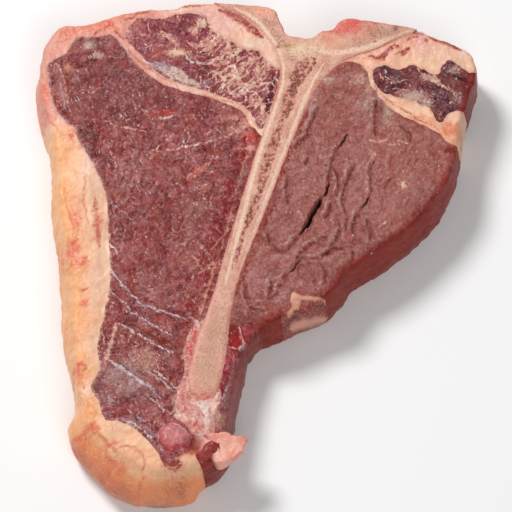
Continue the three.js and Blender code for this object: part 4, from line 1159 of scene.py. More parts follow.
def tender_relief(points, edge, rim):
    opening, inside, creases, fat = tender_marks(points)
    lips = stroke(wander(points, 0.45, 2.6, 102), *[(width*2.6, *path) for width, depth, *path in SPLITS])
    wrinkled = patch(points, ((4, -14), (8, 9), 1.0), ((5, -2), (5, 8), 0.5), ((38, 0), (16, 14), 0.3))
    turned = np.column_stack([points[:, 0]*0.98 + points[:, 1]*0.17, points[:, 1]*0.98 - points[:, 0]*0.17,
        0*edge])
    wrinkles = noise(turned*np.array([0.22, 1, 1]) + 3, 1.7, 108)*wrinkled
    pads = 0.6*(1 - np.abs(rough(points, 6.5, 109, 2)))
    puckers = 0.3*(1 - 2*np.abs(noise(turned*np.array([0.6, 1, 1]), 2.6, 114)))
    height = 0.3*rough(points, 4, 110) + 0.12*rough(points, 1.1, 111) + 1.0*wrinkles + pads + puckers
    height = height + 0.3*crests(points, 3.4, 121)
    height = height - 0.4*crests(points, 6.5, 123)*np.clip((52 - points[:, 0])/14, 0, 1)
    return height + 0.4*lips - opening - 0.7*creases*(inside < 0.1) - 0.5*valleys(points, 5) + 0.2*fat


def tender_paint(points, edge, rim):
    opening, inside, creases, fat = tender_marks(points)
    x, y, z = points.T
    moved = wander(points, 2, 4, 112)
    near = wander(points, 0.9, 2.2, 113)
    by_bone = stroke(moved, (3.6, (20.6, 56), (15.5, 44), (10.6, 31), (8.4, 23), (4.4, 11), (0.6, 1),
        (-2.6, -9), (-6.4, -20), (-8, -28)))
    outer = flank(points, rim, 3.2)*(y < 39)*np.clip((x + 2)/3, 0, 1)
    marks = Tint(points)
    marks.dab("B79787", near, (1.6, 116, 0.7), ((43, 56), (2.6, 4.6), 0.8), ((51, 54), (3, 4), 0.8),
        ((51.5, 49), (2, 3), 0.6), ((44, 48), (2, 4), 0.25))
    marks.dab("C9ABA0", near, (1.2, 117, 0.7), ((29, 67), (2.6, 1.4), 0.9), ((22, 56), (1.6, 4), 0.6),
        ((41, 66), (2, 1), 0.6), ((47, 59), (2, 1), 0.7))
    marks.dab("D8A996", near, (1.3, 118, 0.6), ((41.5, 68), (3, 1.6), 0.8), ((38, 66), (2, 1.2), 0.6),
        ((44.6, 64), (1.6, 3), 0.7))
    marks.brush("8A2621", mottled(points, 0.95*by_bone, 1.8, 115, 0.5))
    marks.brush("8E3A30", 0.6*stroke(near, (1.8, (47.6, 57.5), (47.2, 51), (46.8, 43.5)),
        (3, (24, 8), (27.5, 18), (30.5, 30)), (3, (13, -14), (17, -8), (22, -3)),
        (2, (20, -4), (26, -2), (33, 5))))
    # Painted shade in the grooves between the crests and along the valleys.
    marks.brush("843C34", 0.5*crests(points, 6.5, 123)*np.clip((52 - x)/14, 0, 1))
    marks.brush("7E3C36", 0.42*valleys(points, 4.6))
    lit = valleys(points + np.array([1.7, -1.3, 0]), 2.6)*(1 - np.clip(1.3*valleys(points, 3), 0, 1))
    marks.brush("C99A90", mottled(points, 0.4*lit*(1 - outer), 2, 125))
    # Painted shade in the creases.
    marks.brush("7C2E26", 0.7*creases)
    marks.brush("844844", mottled(points, 0.8*patch(moved, ((50, -4), (12, 6), 1.0), ((34, -16), (9, 5), 1.0),
        ((66, 14), (7, 9), 0.7)), 2, 124))
    # Painted light on the raised crests.
    marks.brush("CDA198", mottled(points, 0.14*crests(points, 3.4, 121)*(1 - outer), 1.6, 122, 0.8))
    marks.brush("74241F", mottled(points, stroke(near, (4, (35, -21), (31, -22.6), (26.5, -24.4)),
        (3.6, (73, 36), (77, 36.6), (81, 36))), 2, 119, 0.4))
    silver_and_sheen = np.maximum(
        broken(points, 120, (1.4, (13.5, 22), (17, 26), (19.5, 31)), (1.6, (16, 11.5), (17.8, 6)),
            (1.4, (4, 5), (7, 8), (9.5, 11)),
               (2.4, (7.5, -8), (10, -8.2), (13, -9)), (2.2, (2, -15.5), (6, -17.5), (10, -17)),
               (2, (11, -19), (15, -20.5)),
               (1.4, (-0.5, -11.4), (3, -12), (6, -13)), (2, (-3.6, -21), (-1, -24), (2, -27)),
               (2.4, (3, -31), (5.4, -32.6), (8.4, -31.6)),
               (1.8, (-6, -28.6), (-4.6, -31), (-2, -33)), (1.4, (32, -2), (33.4, 3), (33, 8)),
               (1.2, (37.6, -5), (38.4, -9)), (2.4, (10, -0.4), (13.4, -0.6))),
        patch(moved, ((1, -21), (7, 7), 0.5), ((9, -25), (5, 4), 0.6), ((6, 2), (3.5, 5), 0.4),
            ((22, -19), (10, 5), 0.3)),
    )
    film_and_sheen = patch(
        moved, ((36, 22), (15, 22), 0.75), ((55, 20), (10, 16), 0.5), ((24, 38), (7, 10), 0.6),
        ((16, 20), (7, 12), 0.75),
        ((34, 50), (8, 10), 0.5), ((60, 40), (9, 6), 0.35), ((30, -8), (14, 10), 0.55),
        ((9, -24), (7, 7), 0.7), ((12, 4), (6, 8), 0.7),
    )
    return marks.painted(
        marbling=0.9*fat,
        film_and_sheen=np.clip(film_and_sheen*(1 - outer), 0, 1),
        stain=np.clip(0.4*creases + patch(moved, ((-4, -31), (5, 4), 0.5), ((22, 47), (5, 5), 0.3),
            ((70, 42), (7, 6), 0.35)), 0, 1),
        sinew_and_sheen=np.clip(silver_and_sheen*(1 - outer), 0, 1),
        # Painted shade inside the splits and creases, and darker towards the bottom of the outer side.
        dark_and_shade=np.clip(np.maximum.reduce([0.8*inside**1.5, 0.12*creases,
            0.35*np.clip(1 - z/11, 0, 1)*(outer > 0.9)]), 0, 1),
        side=outer,
    )


tender = cut_out("tenderloin_lean", tender_loop, tender_relief, tender_paint, shoulder=3.2, coarse=1.8)
tender_skin = lean_finish("tender_lean", "9C5149", "A8665F", "C49A94", 2.2, 0.25, 0.2, "84211A", hollow_shade=0.25,
    top_film_and_sheen=0.2, sparkle=0.3)
place_piece(tender, "tender_lean", tender_skin, "tenderloin")


# THE BONE'S GRISTLE TIP
# Pink cartilage and sinew that wrap the end of the transverse process, wet and lumpy, with a white core.
# The saw went through them together with the bone, so they lie level with the cut face around it.
GRISTLE = [
    (-20.5, -31), (-14, -40), (-14, -60), (-12.6, -64), (-15.5, -74), (-15.5, -79.5), (-19, -81),
    (-24, -79.8), (-27, -76), (-31, -73), (-30.6, -66.5), (-27.3, -53), (-28.2, -47.5), (-24.5, -36),
]
gristle_loop = ragged(smooth_loop(GRISTLE, SEAM_STEP), 0.4, 3, 121)


def gristle_finish():
    f = Finish("gristle")
    fibres = f.grain(1.1, 5)
    colour = f.over("C97F72", "DFA598", f.grain(3, 4), 0.38, 0.62)
    colour = f.over(colour, "EDC8BC", fibres, 0.48, 0.7, 0, 0.65)
    colour = f.over(colour, "A94A40", fibres, 0.32, 0.45, 0.45, 0)
    colour = f.tinted(colour, 0.6, 0.8)
    # Near-black red by the dark value: darker edges, and painted shade in the hollow.
    colour = f.blend(f.painted("dark_and_shade"), colour, "3E0C0B")
    normal = f.bumps((f.grain(1.6, 4), 0.7), (f.grain(0.5, 4), 0.3))
    return f.close(colour, f.between(f.grain(1.2), 0.3, 0.7, 0.26, 0.45), normal, Coat_Weight=0.35,
                   Coat_Roughness=0.12, Subsurface_Weight=0.12, Subsurface_Radius=(1, 0.4, 0.25),
                   Subsurface_Scale=0.0015)


def gristle_relief(points, edge, rim):
    cord = stroke(points, (1.6, (-25, -32.6), (-22.2, -35.6), (-20.2, -40)),
        (4.5, (-24, -66), (-19, -70), (-17, -77)))
    return 0.5*rough(points, 4, 122) + 0.35*rough(points, 1.4, 123) + 0.8*cord


def gristle_paint(points, edge, rim):
    moved = wander(points, 1.0, 2.4, 124)
    marks = Tint(points)
    marks.dab("C4473D", moved, (1.6, 126, 0.5), ((-23.6, -40), (1.8, 5), 1.0), ((-25, -46.5), (1.8, 4), 0.95),
        ((-26.6, -56), (1.6, 4), 0.5))
    marks.dab("CF5D50", moved, (1.5, 127, 0.7), ((-21, -65), (6, 1.6), 0.4), ((-27, -70), (3, 3), 0.5),
        ((-22, -76.5), (3, 2), 0.75), ((-28, -64), (2, 3), 0.6))
    marks.dab("F0D6CC", moved, (1.3, 128, 0.4), ((-19.8, -69), (2.4, 2.4), 1.0), ((-18.6, -74), (2, 3), 0.7),
        ((-29, -73), (2, 1.2), 0.5))
    marks.brush("ECC6BA", 0.9*broken(points, 129, (1.8, (-25, -33), (-22, -36), (-20, -40.4)),
        (1.4, (-26.6, -58), (-25.6, -62)), (2.4, (-14.6, -61), (-15.4, -69), (-17, -77))))
    marks.brush("7E2620", 0.8*patch(moved, ((-22.4, -82), (2.6, 1.4), 1.0)))
    marks.brush("C77C70", 0.8*np.clip(1 - rim/0.5, 0, 1)*(points[:, 2] < 22))
    # Darker along the edges, and painted shade in the hollow by the lower end.
    return marks.painted(dark_and_shade=np.clip(0.25*np.exp(-(edge/0.5)**2) + patch(points,
        ((-22.3, -83.4), (1.6, 1), 1.0)), 0, 1))


gristle = cut_out("gristle_tip", gristle_loop, gristle_relief, gristle_paint)
place_piece(gristle, "gristle", gristle_finish(), "gristle")


# THE EDGE STRIP
# Lean and silver membrane left along the bone's open side, where the flank was cut away. It slopes down from
# the bone, dark with painted shade on its wall and shining with painted highlights along its folds, with a
# red shred at its root and a pale node near the tip.
STRIP = [
    (-14, -28), (2, -30), (10, -60), (2, -79), (-15.4, -79.5), (-15, -70), (-16, -60),
]
strip_loop = ragged(smooth_loop(STRIP, SEAM_STEP), 0.4, 3, 131)


def strip_relief(points, edge, rim):
    folds = stroke(wander(points, 0.4, 3, 132), (1.6, (-6.4, -34), (-6, -38), (-5.2, -42), (-8, -45.5)),
                   (1.8, (-8.5, -47), (-8.2, -53), (-10, -60), (-12, -66), (-14, -72)),
                   (1.4, (-5.8, -54), (-6.4, -60), (-7.4, -67)))
    knobs = patch(points, ((-13, -73.5), (2, 2.2), 2.2), ((-9.4, -74), (2, 3), 1.8))
    return 0.4*rough(points, 3, 133) + 0.2*rough(points, 1.2,
        134) + 1.2*folds + knobs - 0.5*np.exp(-(edge/0.8)**2)


def strip_paint(points, edge, rim):
    x, y, z = points.T
    moved = wander(points, 0.8, 2.4, 135)
    wall = np.clip(1 - rim/0.8, 0, 1)*(z < 0.93*THICKNESS)
    marks = Tint(points)
    marks.brush("8C2320", 0.9*patch(moved, ((-8.6, -39.5), (2.6, 6), 1.0), ((-3, -34.5), (3, 3), 0.8),
        ((-9.4, -32), (1.6, 3), 0.6)))
    marks.dab("B02A20", moved, (1.2, 136, 0.4), ((-8.8, -41.4), (1.8, 2.6), 1.0),
        ((-4.6, -38.6), (1.4, 3), 0.9))
    marks.brush("96626A", 0.9*stroke(moved, (3.6, (-8.6, -51), (-9, -57), (-10.6, -63), (-12, -69))))
    marks.brush("7D2327", 0.8*stroke(moved, (2.6, (-10.6, -57), (-12.6, -63), (-13.6, -69))))
    marks.brush("BD9180", 0.9*stroke(moved, (2.6, (-5.6, -55), (-6.4, -60), (-7.6, -66), (-9, -70))))
    marks.brush("BD9180", 0.7*wall*np.clip(1 - np.abs(y + 62)/9, 0, 1)*(z > 9))
    # Painted highlights along the tops of the folds.
    marks.brush("E4C9C2", 0.9*broken(points, 137, (1.1, (-6.2, -35), (-5.9, -39), (-5, -42.6), (-8, -45.2),
        (-10.6, -44)), (0.8, (-10.8, -38), (-10.9, -43)), (1.2, (-7.8, -48), (-7.4, -53), (-7.9, -58)),
        (0.9, (-10.4, -58), (-11.6, -64), (-13, -70))))
    marks.dab("C8A08A", moved, (1, 138, 0.3), ((-13.4, -74), (2, 2.4), 1.0))
    marks.dab("BF3129", moved, (1, 139, 0.3), ((-9.4, -74.5), (2.4, 3.2), 1.0))
    # Painted shade on the wall.
    marks.brush("5E181C", wall*np.clip(1 - np.abs(y + 44)/9, 0, 1)*0.7)
    return marks.painted(
        marbling=np.zeros(len(points)), film_and_sheen=patch(moved, ((-10, -55), (3, 6), 0.3)),
        stain=patch(moved, ((-8, -40), (4, 7), 0.7)),
        sinew_and_sheen=0.4*stroke(moved, (4, (-9, -50), (-9.5, -56), (-11, -62), (-12, -69))),
        # The dark value is painted shade where the strip drops to its wall.
        dark_and_shade=patch(moved, ((-2.4, -43), (2.6, 7), 0.6), ((-5.4, -49), (2, 6), 0.5)), side=wall,
    )


strip = cut_out("edge_strip_lean", strip_loop, strip_relief, strip_paint, shoulder=2.4)
strip_skin = lean_finish("edge_lean", "901C22", "B4383E", "C8929A", 2.6, 0.4, 0.45, "801C20")
place_piece(strip, "dark_lean", strip_skin, "edge_strip")


# THE TAIL LEAN
# A wedge of dark red lean at the tail's corner, half hidden under the flap of fat. It is what was left of the
# flank when the butcher trimmed the tail, so its upright side is a bare, wet cut.
TAIL = [
    (-22.5, -88), (-17, -82.5), (-4, -79), (-2, -92), (-8, -101), (-17.6, -101), (-20.2, -92),
]
tail_loop = ragged(smooth_loop(TAIL, SEAM_STEP), 0.3, 3, 141)


def tail_relief(points, edge, rim):
    return 0.35*rough(points, 3, 142) + 0.15*rough(points, 1.2, 143) - 0.5*np.exp(-(edge/0.8)**2)


def tail_paint(points, edge, rim):
    moved = wander(points, 1, 3, 144)
    marks = Tint(points)
    marks.brush("8F2E2C", 0.8*patch(moved, ((-17.6, -89), (3, 5), 1.0)))
    marks.dab("B9625A", moved, (1.2, 145), ((-20.4, -85), (2, 2), 0.7))
    return marks.painted(
        marbling=np.zeros(len(points)), film_and_sheen=np.zeros(len(points)),
        stain=patch(moved, ((-15, -91), (6, 5), 0.6)), sinew_and_sheen=np.zeros(len(points)),
        dark_and_shade=np.clip(0.45 - rim/9, 0.1, 0.45), side=flank(points, rim, 3),
    )


tail = cut_out("tail_corner_lean", tail_loop, tail_relief, tail_paint)
tail_skin = lean_finish("tail_lean", "781013", "981E1E", "B0605C", 2.8, 0.4, 0.35, "741012")
place_piece(tail, "dark_lean", tail_skin, "tail_lean")


# THE FAT
# Firm fat fills what the muscles leave: the thick yellow cap down the outer side and round the tail, the
# thin seams between muscles, the pink fat over the tenderloin, and the small fold of fat and lean under it.
CREASES_IN_FAT = [
    (1.2, (-67, -75), (-63.5, -77.2), (-60, -79), (-56, -82.5), (-52, -87), (-46, -93)),
    (1.0, (-52.5, -85.5), (-48.5, -84.4), (-45, -85.2), (-42.2, -88), (-41.4, -92), (-44, -96)),
    (0.9, (-74.4, 21), (-72.5, 10), (-70, 3)), (0.9, (-66, 26), (-66.8, 15), (-64.5, 5)),
    (0.9, (-84, 56), (-81.5, 50), (-78.5, 46.5), (-75, 43)), (0.8, (-63, -52), (-66.2, -57), (-64.5, -62)),
    (0.8, (-66, -62), (-62.5, -68.5), (-58, -73)), (0.9, (-71, -20), (-66.5, -22.5), (-63, -21)),
    (0.8, (-60, 94), (-57, 90.5), (-54, 89)), (0.8, (-73, 91), (-71.5, 87.5)),
]
BLUSH_IN_FAT = [  # orange-red stains
    ((-69.5, 7), (3.4, 8), 0.75), ((-70.5, -5), (3.6, 5.5), 1.0), ((-68, -11), (4.6, 3), 0.85),
    ((-65.5, -27), (2.6, 4.5), 0.6), ((-67, -53), (1.8, 3.4), 1.0), ((-66, -57), (3.6, 2), 0.7),
    ((-61, 4), (2, 10), 0.75), ((-70, 16), (4, 4), 0.4), ((-62, -77), (5, 1.8), 0.85),
    ((-54, -83.5), (4, 2), 0.7), ((-50, -93), (4, 5), 0.8), ((-47, -98), (2.2, 2.6), 0.9),
    ((-76, 60), (3, 8), 0.5), ((-83, 62), (3, 7), 0.9), ((-72, 45), (4, 5), 0.75), ((-68, 40), (4, 3), 0.6),
    ((-60, 92), (5, 4), 0.9), ((-66, 92), (7, 3), 0.7), ((-75, 88), (5, 4), 0.7), ((-54, 97), (5, 3), 0.8),
    ((-48, 98), (5, 3), 0.7), ((-64, -35), (2, 3), 0.3), ((-70, -40), (2, 3), 0.3), ((76, 45), (5, 4), 0.6),
    ((66, 47.5), (6, 2), 0.5), ((18, 83), (3, 3), 0.5), ((34, 78), (5, 3), 0.5),
]
BLOOD_IN_FAT = [  # dark shreds of lean left in the fat
    (3.6, (-14.4, 98.4), (-11, 98), (-8, 95.6), (-4.4, 92.6)), (2.2, (-10, 93.6), (-6.6, 93.2)),
    (3.4, (-3.4, 91.8), (-1, 89), (1.4, 86.6), (2.8, 85.8)), (1.4, (-5.6, 90), (-5.2, 87.6)),
    (3.0, (47.2, 77.4), (49.6, 76.2), (52, 78.6), (54.4, 81.6)), (2.0, (54.4, 82), (57, 82)),
    (3.0, (55.8, 78.4), (58.6, 78.8), (61, 81.4)), (2.6, (60, 84), (62.6, 86.6), (65, 86)),
    (2.4, (67.6, 85.2), (68.4, 83.6)), (2.2, (68, 86.6), (73, 85), (79, 82), (81, 80.4)),
    (1.6, (-53, 93), (-49, 96), (-42, 97.8)), (1.4, (-36, 98.6), (-28, 100), (-20, 100.8)),
    (1.2, (-66.5, 84), (-63, 89), (-56, 92.4)), (2.2, (-56.6, 90.4), (-54.6, 87), (-52.4, 84.6)),
]
SEAM_LINES = [  # the brown line that runs down the seams between muscles
    (1.1, (-51.2, 81.8), (-48.2, 77.7), (-45.2, 74.4), (-38.5, 69.5), (-35.5, 67.5), (-30.4, 64.7)),
    (0.9, (-23.1, 61.8), (-15.7, 59), (-8.4, 57)),
    (1.0, (46, 68), (48, 62.4), (52, 58.4), (58, 54), (65, 50)), (0.7, (60, 51.6), (68, 47.8), (73, 45)),
]
PALE_IN_FAT = [  # the whiter band next to the loin, and the cream fat beside the bone
    ((-65, 33), (2.6, 9), 0.9), ((-61, 22), (1.6, 6), 0.7), ((-61.5, -20), (2.4, 12), 0.55),
    ((-61.5, -42), (2.2, 9), 0.6), ((-63.5, -62), (2.4, 5), 0.6), ((-12, 91), (9, 5), 0.5),
    ((-1, 83), (7, 4), 0.95), ((6, 75), (3, 5), 0.95), ((-30, 98), (9, 2), 0.6), ((-40, -82), (9, 5), 0.25),
    ((-22, 62.4), (5, 1.2), 0.7), ((-30, 65.4), (5, 1.4), 0.8), ((-40, 70), (6, 1.2), 0.6),
    ((72, 79), (9, 6), 0.45), ((82, 78), (3, 4), 0.7), ((51, 79.4), (3, 1.2), 0.7), ((84, 72), (3, 3), 0.5),
    ((78, 52), (3, 2), 0.5),
]


def fat_relief(points, edge, rim):
    creases = stroke(wander(points, 0.7, 4, 151), *CREASES_IN_FAT)
    lumps = 0.6*rough(points, 8.5, 152) + 0.14*rough(points, 2.4, 153)
    frayed = patch(points, ((-76, 90), (14, 8), 1.0), ((-55, 96), (16, 5), 1.0), ((-84, 72), (5, 14), 0.8),
        ((60, 84), (24, 7), 0.8), ((-72, 45), (6, 9), 0.7))
    torn = frayed*(0.4*rough(points, 1.3, 154) + 0.4*noise(points, 3, 158))
    lens = patch(points, ((20, -30.5), (8, 3), 1.0))
    seams = 0.5*stroke(wander(points, 0.4, 3, 160), *SEAM_LINES)
    return lumps + torn + 0.6*lens - 0.85*creases - seams


def fat_paint(points, edge, rim):
    moved = wander(points, 1.8, 3.2, 155)
    near = wander(points, 0.7, 2, 156)
    x, y, z = points.T
    front = np.column_stack([x, z, 0*x])
    wall = np.clip(1 - rim/0.6, 0, 1)*np.clip((0.95*THICKNESS - z)/(0.15*THICKNESS), 0, 1)
    cap = np.clip((-54 - x)/6, 0, 1)*np.clip((52 - y)/14, 0, 1)
    tail_side = np.clip((-76 - y)/4, 0, 1)*np.clip((-14 - x)/6, 0, 1)
    fold = np.clip((x - 5)/3, 0, 1)*np.clip((-10 - y)/3, 0, 1)
    upper = np.clip((y - 46)/8, 0, 1)
    left_rim = patch(points, ((-84.6, 70), (3, 14), 1.0), ((-80, 86), (5, 6), 0.8))
    seam = np.exp(-(edge/1.0)**2)*np.clip(1.4 - edge/1.4, 0, 1)
    marks = Tint(points)
    marks.brush("DE9384", mottled(points, upper*(x < 12)*np.clip((-30 - x)/12, 0.25, 0.9), 2.4, 161, 0.7))
    marks.brush("E8A08A", mottled(points, 0.75*(x > 28)*patch(moved, ((62, 84), (18, 6), 1.0),
        ((46, 76), (7, 4), 0.9), ((55, 79), (6, 5), 0.6)), 2, 162, 0.7))
    marks.dab("E39B72", moved, (2, 163, 0.5), ((76, 45), (5, 4), 0.9), ((64, 50), (8, 2.6), 0.7),
        ((55, 56), (5, 3), 0.5), ((84, 76), (1.6, 5), 0.5))
    marks.brush("D99A8A", mottled(points, 0.85*left_rim, 1.6, 164, 0.5))
    marks.dab("EBC6B2", moved, (1.8, 165, 0.4), *PALE_IN_FAT)
    marks.dab("E2A9A8", moved, (1.6, 166, 0.5), ((-20, 97), (6, 3), 0.7), ((-12, 92), (5, 4), 0.6),
        ((66, 84), (2, 3), 0.9), ((65, 89), (3, 2), 0.8))
    blush = np.maximum(patch(moved, *BLUSH_IN_FAT), 0.45*upper*wall*(x < 0))
    marks.brush("E07A58", mottled(points, 0.75*blush, 1.9, 167, 0.9))
    marks.brush("D7604A", mottled(points, np.clip(1.2*blush - 0.55, 0, 0.8), 1.1, 168, 0.9))
    marks.brush("B4604E", mottled(points, 0.6*stroke(near, (3.4, (-62.4, 17), (-62.6, 10), (-61.6, 3),
        (-60.4, -4))), 1.4, 190, 0.6))
    # Deeper orange down the tail fat's front wall, stronger towards the bottom: partly the outer fat's own
    # orange, partly painted shade.
    marks.brush("F0905C", tail_side*wall*np.clip((24 - z)/9, 0.1, 0.9))
    marks.brush("D4694A", mottled(points, tail_side*wall*patch(front, ((-51, 12), (4, 7), 0.8),
        ((-58, 8), (3, 5), 0.6), ((-64, 16), (2, 5), 0.5)), 2, 199, 0.8))
    # Painted shade: tan-brown and grey-brown low on the front wall, where it turns down away from the light.
    marks.brush("B97058", mottled(points, tail_side*wall*patch(front, ((-46, 8), (4, 8), 0.8),
        ((-60, 12), (8, 5), 0.4)), 3, 169, 0.8))
    marks.brush("8C6A68", mottled(points, tail_side*wall*patch(front, ((-36, 5), (3.6, 7), 0.8),
        ((-29, 16), (2, 3), 0.4)), 2.4, 170, 0.8))
    lain = wander(np.column_stack([x, y - 0.4*(THICKNESS - z), 0*x]), 0.6, 2.4, 175)
    marks.brush("8E3028", fold)
    marks.brush("DCA088", mottled(points, fold*stroke(lain, (2.6, (10, -20), (12.6, -22.4), (15, -24.4),
        (20, -25.6), (25, -25.6), (28.4, -27.4), (34, -26)), (4.6, (13.6, -23), (15.4, -27), (14.4, -30.5)),
        (3, (14, -30), (12, -32.6))), 1.4, 176, 0.4))
    marks.brush("D89C88", mottled(points, fold*stroke(lain, (5, (12.6, -36), (19.6, -34.2), (27.6, -32.2))),
        1.5, 177, 0.3))
    marks.brush("64121A", fold*stroke(lain, (1.3, (18, -30.6), (13.4, -33), (10.6, -36), (9, -39)),
        (1.5, (20, -28.6), (25, -28.6), (30, -29.6))))
    marks.brush("D9795C", 0.75*broken(points, 179, *CREASES_IN_FAT))
    marks.brush("EBCFC0", 0.8*broken(points, 181, (1.1, (-49.6, 83), (-45.4, 77.4), (-40.6, 72.9),
        (-36, 69.8), (-30, 66.6)), (1.2, (-33, 64.6), (-26, 61.6), (-20, 60.2))))
    marks.brush("A9563E", 0.85*broken(points, 180, *SEAM_LINES))
    marks.dab("E2A298", near, (1.6, 187, 0.4), ((-20, -80), (7, 6), 1.2), ((-17, -86), (4, 3), 0.9))
    marks.dab("B8443E", near, (1.2, 188, 0.5), ((-23.6, -80), (2, 3), 0.8), ((-30, -73), (6, 2), 0.7),
        ((-37, -80), (2, 5), 0.6), ((-24, -86.6), (4, 1.6), 0.9))
    band = stroke(near, (5, (-15, 98.6), (-11, 97.8), (-7.6, 95.4), (-4, 92.4), (-0.6, 89), (2.6, 86)),
        (3, (45, 77.6), (49, 76.8), (52, 79.4), (55, 82.4)),
                  (3, (70, 86), (76, 84), (82, 80.4)), (2.4, (54.6, 87.6), (60, 88.4), (66, 87.4)))
    shreds = np.maximum(np.maximum(broken(points, 183, *BLOOD_IN_FAT), 0.9*band),
        0.95*patch(near, ((-31, -91.6), (4.2, 2.2), 1.0)))
    marks.brush("9A2024", mottled(points, shreds, 1.1, 184, 0.4))
    marks.brush("8A3038", np.exp(-(nearest(tree_of(nugget_loop), points)[0]/1.3)**2))
    marks.brush("C88A80", mottled(points, 0.55*seam*(z > 20)*upper, 1.2, 185, 0.9))
    outer = np.maximum(cap*np.clip(1.2 - rim/10, 0, 1), tail_side*(0.4 + 0.5*wall))
    return marks.painted(warm=np.clip(outer, 0, 1))


def fat_finish():
    f = Finish("steak_fat")
    colour = f.over("E6B293", "EFC3A4", f.grain(7, 4), 0.36, 0.64)
    warm = f.times(f.painted("warm"), f.between(f.grain(6, 3), 0.25, 0.75, 0.7, 1.1))
    colour = f.blend(warm, colour, f.over("EFA367", "F2B785", f.grain(4, 4), 0.35, 0.65))
    colour = f.tinted(colour, 0.35, 1.0)
    fine = f.grain(0.8, 5)
    colour = f.over(colour, "F6DCC8", fine, 0.52, 0.74, 0, 0.16)
    colour = f.over(colour, "CF7B5A", fine, 0.3, 0.46, 0.14, 0)
    lobes = f.cells(3.0)
    patchy = f.between(f.grain(5, 3), 0.4, 0.6, 0.0, 0.3)
    colour = f.blend(f.times(f.between(lobes, 0, 0.09, 1, 0), patchy), colour, "D98B68")
    normal = f.bumps((f.math("MINIMUM", lobes, 0.15), 0.25), (f.grain(2.2, 3), 0.4), (f.grain(0.55, 4), 0.1))
    return f.close(colour, f.between(f.grain(2, 4), 0.3, 0.7, 0.36, 0.55), normal, Specular_IOR_Level=0.28,
                   Coat_Weight=0.15, Coat_Roughness=0.22, Subsurface_Weight=0.15,
                   Subsurface_Radius=(1, 0.5, 0.3), Subsurface_Scale=0.002)


TENDER_FAT_CORNER = (28, 35)  # the pink fat lies right of and above this point
FOLD_CORNER = (8, -15)  # the fold lies right of and below this one


def split_up(surface, parts):
    """Cuts a surface into its separate islands, and gathers them under the part that each belongs to."""
    flat, triangles = surface
    label = np.arange(len(flat))
    while True:
        least = label[triangles].min(1)
        spread = label.copy()
        for i in range(3):
            np.minimum.at(spread, triangles[:, i], least)
        spread = spread[spread]
        if np.array_equal(spread, label):
            break
        label = spread
    gathered = {part: [] for part in parts}
    for island in np.unique(label[triangles[:, 0]]):
        own = triangles[label[triangles[:, 0]] == island]
        x, y = flat[np.unique(own)].mean(0)
        part = "fat_cap"
        if x > TENDER_FAT_CORNER[0] and y > TENDER_FAT_CORNER[1]:
            part = "tenderloin_fat"
        elif x > FOLD_CORNER[0] and y < FOLD_CORNER[1]:
            part = "fold_fat"
        gathered[part].append(own)
    return {part: tidy_up(flat, np.concatenate(own)) for part, own in gathered.items()}


FAT_PIECES = {"fat_cap": ("cap_of_fat", "fat"), "tenderloin_fat": ("fat_over_tenderloin", "pink_fat"),
    "fold_fat": ("fold_of_fat", "fat")}
fat_tops = split_up(region(None, 0.45), FAT_PIECES)
fat_bases = split_up(region(None, 1.7), FAT_PIECES)
fat_skin = fat_finish()
for node, (piece_name, slot) in FAT_PIECES.items():
    piece = carve(piece_name, fat_tops[node], fat_bases[node], fat_relief, fat_paint, 2.4)
    place_piece(piece, slot, fat_skin, node)


# THE FLAP
# A loose pink flap of fat that the knife left at the bone's tip. It hangs out over the tail's corner, thick
# at its root and thin at its torn edge.
FLAP = [
    (-20.5, -79.8), (-15.5, -78.8), (-9, -79.4), (-3.2, -80.6), (-4.2, -84.5), (-6.5, -87.6), (-13.8, -91.6),
    (-16.4, -89), (-17, -84),
]
FLAP_TOP = THICKNESS + 0.8
flap_loop = smooth_loop(FLAP, 0.5)
flap_tip = np.clip((flap_loop[:, 0] + 11)/6, 0, 1)[:, None]
flap_loop += flap_tip*(ragged(flap_loop, 1.0, 1.7, 171) - flap_loop) + (1 - flap_tip)*(ragged(flap_loop, 0.3,
    3, 172) - flap_loop)


def flap_relief(points, edge, rim):
    x, y = points[:, 0], points[:, 1]
    wanted = FLAP_TOP + 1.2*np.sin((y + 80)/4) - 0.05*(x + 12)
    crease = stroke(points, (1.1, (-17.5, -82), (-14, -84), (-12.6, -88)))
    return wanted - face_height(points) + 0.3*rough(points, 2.6, 173) + 0.15*rough(points, 1,
        174) - 0.5*crease


def flap_under(points):
    share = np.clip((points[:, 0] + 18)/13, 0, 1)
    return FLAP_TOP + 1.0*np.sin((points[:, 1] + 80)/4) - 9 + 5.4*share


def flap_paint(points, edge, rim):
    moved = wander(points, 0.9, 2.2, 175)
    marks = Tint(points)
    marks.brush("EDA594", np.full(len(points), 0.85))
    marks.dab("EFB8A4", moved, (1.5, 181, 0.5), ((-13, -87.6), (2.6, 3), 0.8), ((-8, -84), (4, 2.4), 0.5))
    marks.dab("DB7A6B", moved, (1.2, 182, 0.5), ((-4.6, -81), (2, 2.4), 0.7), ((-15, -80.6), (3, 1.4), 0.6),
        ((-8, -88), (3, 1.4), 0.6))
    marks.brush("A4443C", patch(moved, ((-19.6, -81), (1.6, 1.4), 0.8), ((-16.6, -88), (0.9, 2.6), 0.8)))
    marks.brush("E9C4BA", broken(points, 186, (1.2, (-16, -83.6), (-14.6, -87), (-14.2, -90.4))))
    return marks.painted(warm=np.zeros(len(points)))


flap = carve("flap_of_fat", region(flap_loop, 0.35, False), region(flap_loop, 0.9, False), flap_relief,
    flap_paint, 1.1, flap_under)
place_piece(flap, "pink_fat", fat_skin, "fat_flap")


